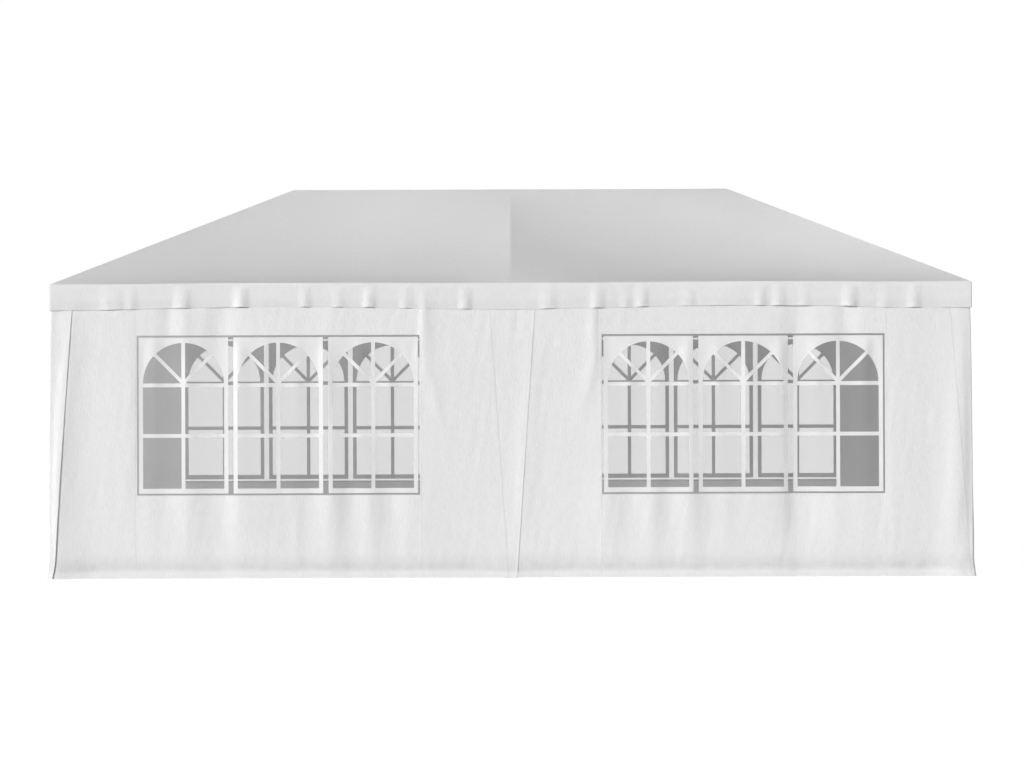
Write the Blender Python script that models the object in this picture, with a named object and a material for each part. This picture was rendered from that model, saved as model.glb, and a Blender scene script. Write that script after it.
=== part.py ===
"""Marquee tent, 6 m by 3 m: a tube frame under a hipped fabric cover, with hung walls.

Metres, +Z up. The origin is on the ground under the middle of the tent. X runs along the
long sides, and the front faces -Y. Left and right are as seen from the front.
"""

import math

import bmesh
import bpy
from mathutils import Matrix, Vector

# Size over the fabric
LENGTH = 6.0
WIDTH = 3.0
EAVE_HEIGHT = 1.915
RIDGE_HEIGHT = 2.60
VALANCE_DEPTH = 0.17

# Fabric sheets, and the clearance that touching pieces keep
CLOTH = 0.002
FILM = 0.001
GAP = 0.0003

# Walls: they hang inside the valance, behind the leg covers, and their hem spreads outward
COVER_INSET = 0.012
WALL_TOP = 1.90
HEM_BOTTOM = 0.002
HEM_SPREAD = 0.020
SPREAD_TOP = 0.14
SPREAD_ROWS = 4

# Leg covers: strips over the edges of the walls that narrow towards the ground
COVER_AT_TOP = 0.146
COVER_AT_FOOT = 0.027
CORNER_CHAMFER = 0.003

# Windows and zipped doors
WINDOW_WIDTH = 1.84
WINDOW_MIDDLE = 1.512
WINDOW_BOTTOM = 0.548
WINDOW_TOP = 1.575
DOOR_WIDTH = 1.50
DOOR_TOP = 1.80

# Steel tubes and the sleeves that join them
TUBE_RADIUS = 0.0125
SLEEVE_RADIUS = 0.0148
SLEEVE_REACH = 0.11
SLEEVE_OVERLAP = 0.002
SLEEVE_STEP = 0.0004
SLEEVE_TURN = 11.0
SOCKET_START = 0.040
SOCKET_CLEARANCE = 0.0004
MOUTH_OVERCUT = 0.011
TUBE_SIDES = 16

# Feet: the plate reaches inward from the leg, under the tent
PLATE_SIZE = 0.10
PLATE_THICK = 0.003
PLATE_OUTSIDE = 0.0155
PLATE_CORNER = 0.008
FOOT_SLEEVE_HEIGHT = 0.07

# Worked out from the sizes above
HALF_LENGTH = LENGTH / 2
HALF_WIDTH = WIDTH / 2
HALF_RIDGE = HALF_LENGTH - HALF_WIDTH
PITCH = (RIDGE_HEIGHT - EAVE_HEIGHT) / HALF_WIDTH
PITCH_COS = math.cos(math.atan(PITCH))
WALL_INSET = COVER_INSET + CLOTH + GAP
LEG_INSET = WALL_INSET + CLOTH + GAP + SLEEVE_RADIUS
LEG_X = HALF_LENGTH - LEG_INSET
LEG_Y = HALF_WIDTH - LEG_INSET
TUBE_DROP = (CLOTH + GAP + SLEEVE_RADIUS) / PITCH_COS
EAVE_TUBE_HEIGHT = EAVE_HEIGHT + PITCH * LEG_INSET - TUBE_DROP
RIDGE_TUBE_HEIGHT = RIDGE_HEIGHT - TUBE_DROP

# Turn about Z that brings a piece drawn for the front to each side
SIDE_TURN = {"front": 0.0, "right": 90.0, "back": 180.0, "left": 270.0}
CORNER_TURN = {"front_left": 0.0, "front_right": 90.0, "back_right": 180.0, "back_left": 270.0}


def clear_scene():
    """Remove every object that is already in the scene."""
    for thing in list(bpy.data.objects):
        bpy.data.objects.remove(thing, do_unlink=True)


def make_finish(name, colour, roughness, metallic=0.0, alpha=1.0):
    """Return a plain Principled BSDF material."""
    material = bpy.data.materials.new(name)
    material.use_nodes = True
    shader = material.node_tree.nodes["Principled BSDF"]
    shader.inputs["Base Color"].default_value = (*colour, 1.0)
    shader.inputs["Roughness"].default_value = roughness
    shader.inputs["Metallic"].default_value = metallic
    shader.inputs["Alpha"].default_value = alpha
    return material


def make_group(name):
    """Add an empty that carries one group of pieces."""
    group = bpy.data.objects.new(name, None)
    bpy.context.collection.objects.link(group)
    return group


def add_piece(name, mesh, finish, group, location=(0, 0, 0), turn_z=0.0):
    """Add one named piece, turned about Z by a number of degrees."""
    if not mesh.materials:
        mesh.materials.append(finish)
    piece = bpy.data.objects.new(name, mesh)
    piece.location = location
    piece.rotation_euler.z = math.radians(turn_z)
    piece.parent = group
    bpy.context.collection.objects.link(piece)
    return piece


def mesh_from(bm, name, smooth=False):
    """Turn a bmesh into a mesh whose faces point outward."""
    bmesh.ops.recalc_face_normals(bm, faces=bm.faces)
    mesh = bpy.data.meshes.new(name)
    bm.to_mesh(mesh)
    bm.free()
    if smooth:
        smooth_round(mesh)
    return mesh


def smooth_round(mesh):
    """Shade a round mesh smooth, with its ends left sharp."""
    mesh.shade_smooth()
    mesh.set_sharp_from_angle(angle=math.radians(40))


def bar_mesh(name, start, end, radius, turn=0.0):
    """Return a solid round bar between two points, its flats turned by a number of degrees."""
    run = end - start
    place = Matrix.Translation((start + end) / 2) @ run.to_track_quat("Z", "Y").to_matrix().to_4x4()
    place = place @ Matrix.Rotation(math.radians(turn), 4, "Z")
    bm = bmesh.new()
    bmesh.ops.create_cone(
        bm,
        cap_ends=True,
        segments=TUBE_SIDES,
        radius1=radius,
        radius2=radius,
        depth=run.length,
        matrix=place,
    )
    return mesh_from(bm, name, smooth=True)


def combine(mesh, tool_mesh, operation):
    """Join the tool to the mesh, or cut it away, and return the new mesh."""
    target = bpy.data.objects.new("target", mesh)
    tool = bpy.data.objects.new("tool", tool_mesh)
    for thing in (target, tool):
        bpy.context.collection.objects.link(thing)
    modifier = target.modifiers.new("combine", "BOOLEAN")
    modifier.operation = operation
    modifier.solver = "EXACT"
    modifier.object = tool
    depsgraph = bpy.context.evaluated_depsgraph_get()
    result = bpy.data.meshes.new_from_object(target.evaluated_get(depsgraph))
    result.name = mesh.name
    for thing in (target, tool):
        bpy.data.objects.remove(thing, do_unlink=True)
    for spent in (mesh, tool_mesh):
        bpy.data.meshes.remove(spent)
    return result


# Frame


def frame_points():
    """Return the crossing points of the tube axes by name."""
    points = {}
    for depth, y in (("front", -LEG_Y), ("back", LEG_Y)):
        for side, x in (("left", -LEG_X), ("middle", 0.0), ("right", LEG_X)):
            points[f"{depth}_{side}"] = Vector((x, y, EAVE_TUBE_HEIGHT))
    for side, x in (("left", -HALF_RIDGE), ("middle", 0.0), ("right", HALF_RIDGE)):
        points[f"ridge_{side}"] = Vector((x, 0.0, RIDGE_TUBE_HEIGHT))
    return points


def add_tube(name, start, end, steel, group):
    """Add a tube whose ends sit in the sockets of the joints at two frame points."""
    run = end - start
    half = run.length / 2 - SOCKET_START - GAP
    mesh = bar_mesh(name, Vector((0, 0, -half)), Vector((0, 0, half)), TUBE_RADIUS)
    tube = add_piece(name, mesh, steel, group, location=(start + end) / 2)
    tube.rotation_euler = run.to_track_quat("Z", "Y").to_euler()


def add_tubes(points, steel, group):
    """Add the eave rails, the ridge rails and the rafters."""
    runs = {
        "eave_rail_front_left": ("front_left", "front_middle"),
        "eave_rail_front_right": ("front_middle", "front_right"),
        "eave_rail_back_left": ("back_left", "back_middle"),
        "eave_rail_back_right": ("back_middle", "back_right"),
        "eave_rail_left": ("front_left", "back_left"),
        "eave_rail_right": ("front_right", "back_right"),
        "ridge_rail_left": ("ridge_left", "ridge_middle"),
        "ridge_rail_right": ("ridge_middle", "ridge_right"),
        "hip_rafter_front_left": ("front_left", "ridge_left"),
        "hip_rafter_front_right": ("front_right", "ridge_right"),
        "hip_rafter_back_left": ("back_left", "ridge_left"),
        "hip_rafter_back_right": ("back_right", "ridge_right"),
        "middle_rafter_front": ("front_middle", "ridge_middle"),
        "middle_rafter_back": ("back_middle", "ridge_middle"),
    }
    for name, (start, end) in runs.items():
        add_tube(name, points[start], points[end], steel, group)


def add_legs(points, steel, group):
    """Add the six legs, from their feet up into the eave joints."""
    bottom = PLATE_THICK + GAP
    top = EAVE_TUBE_HEIGHT - SOCKET_START - GAP
    mesh = bar_mesh("leg", Vector((0, 0, bottom)), Vector((0, 0, top)), TUBE_RADIUS)
    for name, point in points.items():
        if not name.startswith("ridge"):
            add_piece(f"leg_{name}", mesh, steel, group, location=(point.x, point.y, 0))


def joint_mesh(name, through, arms):
    """Return a joint of sleeves that meet at the origin.

    through holds the directions of sleeves that run on past the middle, and arms the
    directions of those that start there. Each sleeve is a little slimmer than the one
    before it, with its flats turned further round, so that no two surfaces lie together.
    """
    sleeves = [(-way * SLEEVE_REACH, way * SLEEVE_REACH) for way in through]
    sleeves += [(-way * SLEEVE_OVERLAP, way * SLEEVE_REACH) for way in arms]
    mesh = bar_mesh(name, *sleeves[0], SLEEVE_RADIUS)
    for i, (start, end) in enumerate(sleeves[1:], 1):
        sleeve = bar_mesh("sleeve", start, end, SLEEVE_RADIUS - SLEEVE_STEP * i, SLEEVE_TURN * i)
        mesh = combine(mesh, sleeve, "UNION")
    mouths = [way * sign for way in through for sign in (1, -1)] + list(arms)
    for i, way in enumerate(mouths):
        mesh = cut_socket(mesh, way * SOCKET_START, way * SLEEVE_REACH, SLEEVE_TURN * i)
    smooth_round(mesh)
    return mesh


def cut_socket(mesh, bottom, mouth, turn=0.0):
    """Cut the round hole that takes the end of a tube."""
    beyond = mouth + (mouth - bottom).normalized() * MOUTH_OVERCUT
    socket = bar_mesh("socket", bottom, beyond, TUBE_RADIUS + SOCKET_CLEARANCE, turn)
    return combine(mesh, socket, "DIFFERENCE")


def add_joints(points, steel, group):
    """Add the corner, eave and ridge joints. Like joints share one mesh."""
    along = Vector((1, 0, 0))
    across = Vector((0, 1, 0))
    down = Vector((0, 0, -1))
    hip = (points["ridge_left"] - points["front_left"]).normalized()
    rafter = (points["ridge_middle"] - points["front_middle"]).normalized()
    back_hip = Vector((hip.x, -hip.y, hip.z))
    back_rafter = Vector((0, -rafter.y, rafter.z))

    corner = joint_mesh("corner_joint", [], [along, across, down, hip])
    for name, turn in CORNER_TURN.items():
        add_piece(f"corner_joint_{name}", corner, steel, group, points[name], turn)
    eave = joint_mesh("eave_joint", [along], [down, rafter])
    for side in ("front", "back"):
        add_piece(f"eave_joint_{side}", eave, steel, group, points[f"{side}_middle"], SIDE_TURN[side])
    ridge_end = joint_mesh("ridge_end_joint", [], [along, -hip, -back_hip])
    for side, turn in (("left", 0.0), ("right", 180.0)):
        add_piece(f"ridge_joint_{side}", ridge_end, steel, group, points[f"ridge_{side}"], turn)
    ridge_middle = joint_mesh("ridge_middle_joint", [along], [-rafter, -back_rafter])
    add_piece("ridge_joint_middle", ridge_middle, steel, group, points["ridge_middle"])


def foot_mesh(name, shift):
    """Return a foot: a plate on the ground, moved by shift from the leg, and its sleeve."""
    bm = bmesh.new()
    place = Matrix.Translation((shift.x, shift.y, PLATE_THICK / 2))
    size = Matrix.Diagonal((PLATE_SIZE, PLATE_SIZE, PLATE_THICK, 1))
    bmesh.ops.create_cube(bm, size=1.0, matrix=place @ size)
    corners = [edge for edge in bm.edges if abs(edge.verts[0].co.z - edge.verts[1].co.z) > PLATE_THICK / 2]
    bmesh.ops.bevel(bm, geom=corners, offset=PLATE_CORNER, segments=3, profile=0.5, affect="EDGES")
    plate = mesh_from(bm, name)
    low = Vector((0, 0, PLATE_THICK / 2))
    high = Vector((0, 0, FOOT_SLEEVE_HEIGHT))
    mesh = combine(plate, bar_mesh("sleeve", low, high, SLEEVE_RADIUS), "UNION")
    mesh = cut_socket(mesh, Vector((0, 0, PLATE_THICK)), high)
    smooth_round(mesh)
    return mesh


def add_feet(points, steel, group):
    """Add a foot under each leg."""
    reach = PLATE_SIZE / 2 - PLATE_OUTSIDE
    corner = foot_mesh("corner_foot", Vector((reach, reach, 0)))
    for name, turn in CORNER_TURN.items():
        add_piece(f"foot_{name}", corner, steel, group, (points[name].x, points[name].y, 0), turn)
    middle = foot_mesh("middle_foot", Vector((0, reach, 0)))
    for side in ("front", "back"):
        point = points[f"{side}_middle"]
        add_piece(f"foot_{side}_middle", middle, steel, group, (point.x, point.y, 0), SIDE_TURN[side])


# Roof cover


def cover_ring(inset):
    """Return the corners of one surface of the cover: hem, eave and ridge."""
    x = HALF_LENGTH - inset
    y = HALF_WIDTH - inset
    drop = inset / PITCH_COS
    eave = EAVE_HEIGHT + PITCH * inset - drop
    corners = [(-x, -y), (x, -y), (x, y), (-x, y)]
    hem = [Vector((cx, cy, EAVE_HEIGHT - VALANCE_DEPTH)) for cx, cy in corners]
    fold = [Vector((cx, cy, eave)) for cx, cy in corners]
    ridge = [Vector((sign * HALF_RIDGE, 0, RIDGE_HEIGHT - drop)) for sign in (-1, 1)]
    return hem, fold, ridge


def add_cover(cloth, group):
    """Add the roof cover: two long slopes, two hipped ends and the valance, in one skin."""
    bm = bmesh.new()
    rims = []
    for inset in (0.0, CLOTH):
        hem, fold, ridge = ([bm.verts.new(point) for point in row] for row in cover_ring(inset))
        for i in range(4):
            bm.faces.new((hem[i], hem[(i + 1) % 4], fold[(i + 1) % 4], fold[i]))
        bm.faces.new((fold[0], fold[1], ridge[1], ridge[0]))
        bm.faces.new((fold[1], fold[2], ridge[1]))
        bm.faces.new((fold[2], fold[3], ridge[0], ridge[1]))
        bm.faces.new((fold[3], fold[0], ridge[0]))
        rims.append(hem)
    outer, inner = rims
    for i in range(4):
        bm.faces.new((outer[i], outer[(i + 1) % 4], inner[(i + 1) % 4], inner[i]))
    add_piece("roof_cover", mesh_from(bm, "roof_cover"), cloth, group)


# Walls


def spread(z):
    """Return how far the hem stands out at a height: a curve that opens to the ground."""
    share = max(0.0, (SPREAD_TOP - z) / (SPREAD_TOP - HEM_BOTTOM))
    return HEM_SPREAD * share**2


def spread_rows():
    """Return the heights of the rows that follow the hem's curve."""
    step = (SPREAD_TOP - HEM_BOTTOM) / SPREAD_ROWS
    return [HEM_BOTTOM + step * i for i in range(SPREAD_ROWS + 1)]


def edge_at(line, z):
    """Return where a slanting edge, given as its place at the ground and the top, is at a height."""
    foot, top = line
    return foot + (top - foot) * (z - HEM_BOTTOM) / (WALL_TOP - HEM_BOTTOM)


def sheet_mesh(name, offset, lines, rows, hole=None, thick=CLOTH):
    """Return a hanging sheet that faces -Y at a distance from the middle.

    lines are its upright edges from left to right, and rows its heights. hole is a test of
    a cell's left line and bottom row that says which cells are cut out.
    """
    bm = bmesh.new()
    grid = [[bm.verts.new((edge_at(line, z), -offset - spread(z), z)) for line in lines] for z in rows]
    for r in range(len(rows) - 1):
        for c in range(len(lines) - 1):
            if not (hole and hole(c, rows[r])):
                bm.faces.new((grid[r][c], grid[r][c + 1], grid[r + 1][c + 1], grid[r + 1][c]))
    bmesh.ops.delete(bm, geom=[v for v in bm.verts if not v.link_faces], context="VERTS")
    grown = bmesh.ops.extrude_face_region(bm, geom=list(bm.faces))
    moved = [item for item in grown["geom"] if isinstance(item, bmesh.types.BMVert)]
    bmesh.ops.translate(bm, verts=moved, vec=(0, thick, 0))
    return mesh_from(bm, name)


def upright(u):
    """Return a line that stands upright."""
    return (u, u)


def add_window_walls(cloth, film, group):
    """Add the four long-side walls, each with its window cut through, and the films."""
    offset = HALF_WIDTH - WALL_INSET
    half_window = WINDOW_WIDTH / 2
    corner = WALL_INSET + CLOTH + GAP - HALF_LENGTH
    left = -WINDOW_MIDDLE - half_window
    right = -WINDOW_MIDDLE + half_window
    lines = [upright(corner), upright(left), upright(right), upright(-GAP / 2)]
    rows = spread_rows() + [WINDOW_BOTTOM, WINDOW_TOP, WALL_TOP]
    pane_lines = [upright(left + GAP), upright(right - GAP)]
    pane_rows = [WINDOW_BOTTOM + GAP, WINDOW_TOP - GAP]
    pane_offset = offset - (CLOTH - FILM) / 2
    for side in ("front", "back"):
        for half in ("left", "right"):
            mirrored = (half == "left") == (side == "back")
            wall_lines = mirror_lines(lines) if mirrored else lines
            film_lines = mirror_lines(pane_lines) if mirrored else pane_lines
            wall = sheet_mesh("window_wall", offset, wall_lines, rows, hole=window_cell)
            add_piece(f"wall_{side}_{half}", wall, cloth, group, turn_z=SIDE_TURN[side])
            pane = sheet_mesh("window_film", pane_offset, film_lines, pane_rows, thick=FILM)
            add_piece(f"window_{side}_{half}", pane, film, group, turn_z=SIDE_TURN[side])


def mirror_lines(lines):
    """Return the upright edges of the mirrored sheet."""
    return [(-foot, -top) for foot, top in reversed(lines)]


def window_cell(column, bottom):
    """Say whether a cell of a long-side wall is its window."""
    return column == 1 and bottom == WINDOW_BOTTOM


def door_cell(column, bottom):
    """Say whether a cell of an end wall is its doorway."""
    return column == 1 and bottom < DOOR_TOP


def add_end_walls(cloth, group):
    """Add the two end walls, each with a doorway, and the doors zipped into them."""
    offset = HALF_LENGTH - WALL_INSET
    edge = HALF_WIDTH - WALL_INSET - CLOTH - GAP
    half_door = DOOR_WIDTH / 2
    lines = [upright(u) for u in (-edge, -half_door, half_door, edge)]
    rows = spread_rows() + [DOOR_TOP, WALL_TOP]
    door_lines = [upright(-half_door + GAP), upright(half_door - GAP)]
    door_rows = spread_rows() + [DOOR_TOP - GAP]
    wall = sheet_mesh("end_wall", offset, lines, rows, hole=door_cell)
    door = sheet_mesh("end_door", offset, door_lines, door_rows)
    for side in ("left", "right"):
        add_piece(f"wall_{side}", wall, cloth, group, turn_z=SIDE_TURN[side])
        add_piece(f"door_{side}", door, cloth, group, turn_z=SIDE_TURN[side])


def corner_cover_mesh(name):
    """Return the cover of the front left leg: a strip folded round the corner."""
    bm = bmesh.new()
    outer_x = COVER_INSET - HALF_LENGTH
    outer_y = COVER_INSET - HALF_WIDTH
    inner_chamfer = CORNER_CHAMFER - CLOTH * (2 - math.sqrt(2))
    rings = []
    for z in spread_rows() + [WALL_TOP]:
        reach = edge_at((COVER_AT_FOOT, COVER_AT_TOP), z) - COVER_INSET
        faces = []
        for depth, chamfer in ((0.0, CORNER_CHAMFER), (CLOTH, inner_chamfer)):
            x = outer_x - spread(z) + depth
            y = outer_y - spread(z) + depth
            line = [(outer_x + reach, y), (x + chamfer, y), (x, y + chamfer), (x, outer_y + reach)]
            faces.append([bm.verts.new((px, py, z)) for px, py in line])
        rings.append(faces[0] + faces[1][::-1])
    for low, high in zip(rings, rings[1:]):
        for i in range(len(low)):
            j = (i + 1) % len(low)
            bm.faces.new((low[i], low[j], high[j], high[i]))
    for ring in (rings[0], rings[-1]):
        for i in range(3):
            bm.faces.new((ring[i], ring[i + 1], ring[-2 - i], ring[-1 - i]))
    return mesh_from(bm, name)


def add_leg_covers(cloth, group):
    """Add the strips that cover the legs and the edges of the walls."""
    corner = corner_cover_mesh("corner_leg_cover")
    mirrored = corner.copy()
    mirrored.transform(Matrix.Scale(-1, 4, Vector((1, 0, 0))))
    mirrored.flip_normals()
    for name, mesh, turn in (
        ("front_left", corner, 0.0),
        ("front_right", mirrored, 0.0),
        ("back_right", corner, 180.0),
        ("back_left", mirrored, 180.0),
    ):
        add_piece(f"leg_cover_{name}", mesh, cloth, group, turn_z=turn)
    lines = [(-COVER_AT_FOOT, -COVER_AT_TOP), (COVER_AT_FOOT, COVER_AT_TOP)]
    middle = sheet_mesh("middle_leg_cover", HALF_WIDTH - COVER_INSET, lines, spread_rows() + [WALL_TOP])
    for side in ("front", "back"):
        add_piece(f"leg_cover_{side}_middle", middle, cloth, group, turn_z=SIDE_TURN[side])


def build():
    """Build the whole tent."""
    clear_scene()
    steel = make_finish("frame_steel", (0.78, 0.79, 0.80), 0.35, metallic=0.1)
    roof_cloth = make_finish("roof_fabric", (0.80, 0.80, 0.80), 0.65)
    wall_cloth = make_finish("wall_fabric", (0.84, 0.84, 0.84), 0.65)
    film = make_finish("window_film", (0.80, 0.82, 0.83), 0.12, alpha=0.35)
    frame = make_group("frame_group")
    cover = make_group("cover_group")
    walls = make_group("wall_group")
    points = frame_points()
    add_feet(points, steel, frame)
    add_legs(points, steel, frame)
    add_joints(points, steel, frame)
    add_tubes(points, steel, frame)
    add_cover(roof_cloth, cover)
    add_window_walls(wall_cloth, film, walls)
    add_end_walls(wall_cloth, walls)
    add_leg_covers(wall_cloth, walls)


build()
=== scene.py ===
# %% [markdown]
# # A marquee tent, dressed in its cloth
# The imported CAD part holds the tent's steel frame and a plain solid for every panel of cloth.
# This lesson keeps the frame as it is and hangs real cloth on it: thin sheets that sag between
# the tubes, buckle along the valance and flare out on the ground. Each sheet is a grid of
# points worked out by a few small functions, so a fold is a number that can be changed.

# %% Load the frame
import math

import bmesh
import bpy
import numpy as np
from mathutils import Matrix, Vector


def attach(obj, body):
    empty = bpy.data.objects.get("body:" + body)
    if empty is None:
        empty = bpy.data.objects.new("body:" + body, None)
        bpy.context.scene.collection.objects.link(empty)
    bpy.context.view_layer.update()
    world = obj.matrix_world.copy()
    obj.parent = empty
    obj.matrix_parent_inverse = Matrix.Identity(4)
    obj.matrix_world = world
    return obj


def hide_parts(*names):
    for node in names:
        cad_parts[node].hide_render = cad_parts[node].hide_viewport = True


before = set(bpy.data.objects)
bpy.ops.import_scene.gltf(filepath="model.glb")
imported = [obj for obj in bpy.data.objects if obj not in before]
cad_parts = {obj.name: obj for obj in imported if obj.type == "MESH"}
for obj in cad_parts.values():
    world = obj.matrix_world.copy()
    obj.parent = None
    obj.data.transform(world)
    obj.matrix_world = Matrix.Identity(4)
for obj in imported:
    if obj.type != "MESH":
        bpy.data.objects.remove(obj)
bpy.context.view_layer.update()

# %% [markdown]
# ## The tent's sizes
# A party tent is cut to whole metres over its cloth: 6 m long and 3 m deep. The eave is the
# line where the roof folds down into the valance. Most of these are the CAD part's figures. The
# windows, the leg covers further below and the valance's hem were fitted more closely and differ
# from it by up to 3 or 4 cm. Every piece is drawn from these values, so that all the cloth meets.

# %% Sizes
HALF_LENGTH = 3.0
HALF_WIDTH = 1.5
HALF_RIDGE = 1.5
EAVE = 1.915
RIDGE = 2.60
HEM_OF_VALANCE = 1.757
WALL_TOP = 1.90
GROUND = 0.002
COVER_INSET = 0.012
WALL_INSET = 0.0143
WINDOW_MIDDLE = {"front": 1.512, "back": 1.487}
WINDOW_WIDTH = 1.84
WINDOW_BOTTOM = 0.542
WINDOW_TOP = 1.582
DOOR_HALF = 0.75
DOOR_TOP = 1.80
SLOPE = math.atan((RIDGE - EAVE) / HALF_WIDTH)
print(f"roof pitch {math.degrees(SLOPE):.1f} degrees")

# %% [markdown]
# ## One way to speak of all four sides
# The four sides are alike, so it pays to draw each one the same way: u runs to the right as
# seen from outside, z is up, and out is the distance from the middle of the tent. One helper
# then turns those numbers into points on the front, right, back or left.

# %% Points on a side
TURNS = {"front": (1, 0), "right": (0, 1), "back": (-1, 0), "left": (0, -1)}
LONG_SIDES = ("front", "back")
ALONG = {"front": HALF_LENGTH, "back": HALF_LENGTH, "left": HALF_WIDTH, "right": HALF_WIDTH}
OUT = {"front": HALF_WIDTH, "back": HALF_WIDTH, "left": HALF_LENGTH, "right": HALF_LENGTH}


def on_side(side, u, out, z):
    """Return the points of one side of the tent."""
    cos, sin = TURNS[side]
    u, out, z = np.broadcast_arrays(u, out, z)
    return np.stack([u * cos + out * sin, u * sin - out * cos, z], axis=-1)


def ease(x):
    """Return a smooth step from 0 to 1."""
    x = np.clip(x, 0.0, 1.0)
    return x * x * (3 - 2 * x)


def stations(stops, step):
    """Return places along a line: every stop, and even steps of about that length between."""
    places = [stops[0]]
    for low, high in zip(stops, stops[1:]):
        count = max(1, round((high - low) / step))
        places += [low + (high - low) * (i + 1) / count for i in range(count)]
    return np.array(places)


def line_of(*parts):
    """Return the places of some lines as one sorted line, with each place once."""
    return np.unique(np.concatenate(parts))


print("front corner", on_side("front", -HALF_LENGTH, HALF_WIDTH, 0.0))

# %% [markdown]
# ## How the walls hang
# A wall hangs from the eave rails and only touches the ground with its hem, so it keeps the
# long soft folds that it was packed with. Cloth simulation could make folds, but not these
# folds. Here each fold is a low ridge with a place, a width, a height and a lean, written
# down for the side it belongs to. Fine crinkles come from a few small waves on top. Towards the
# ground the folds grow flatter, because the hem's weight pulls them straight, and at the
# corners they die out, because the next wall holds the cloth there. The numbers are lengths in
# metres, as everywhere in this lesson.

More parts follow.
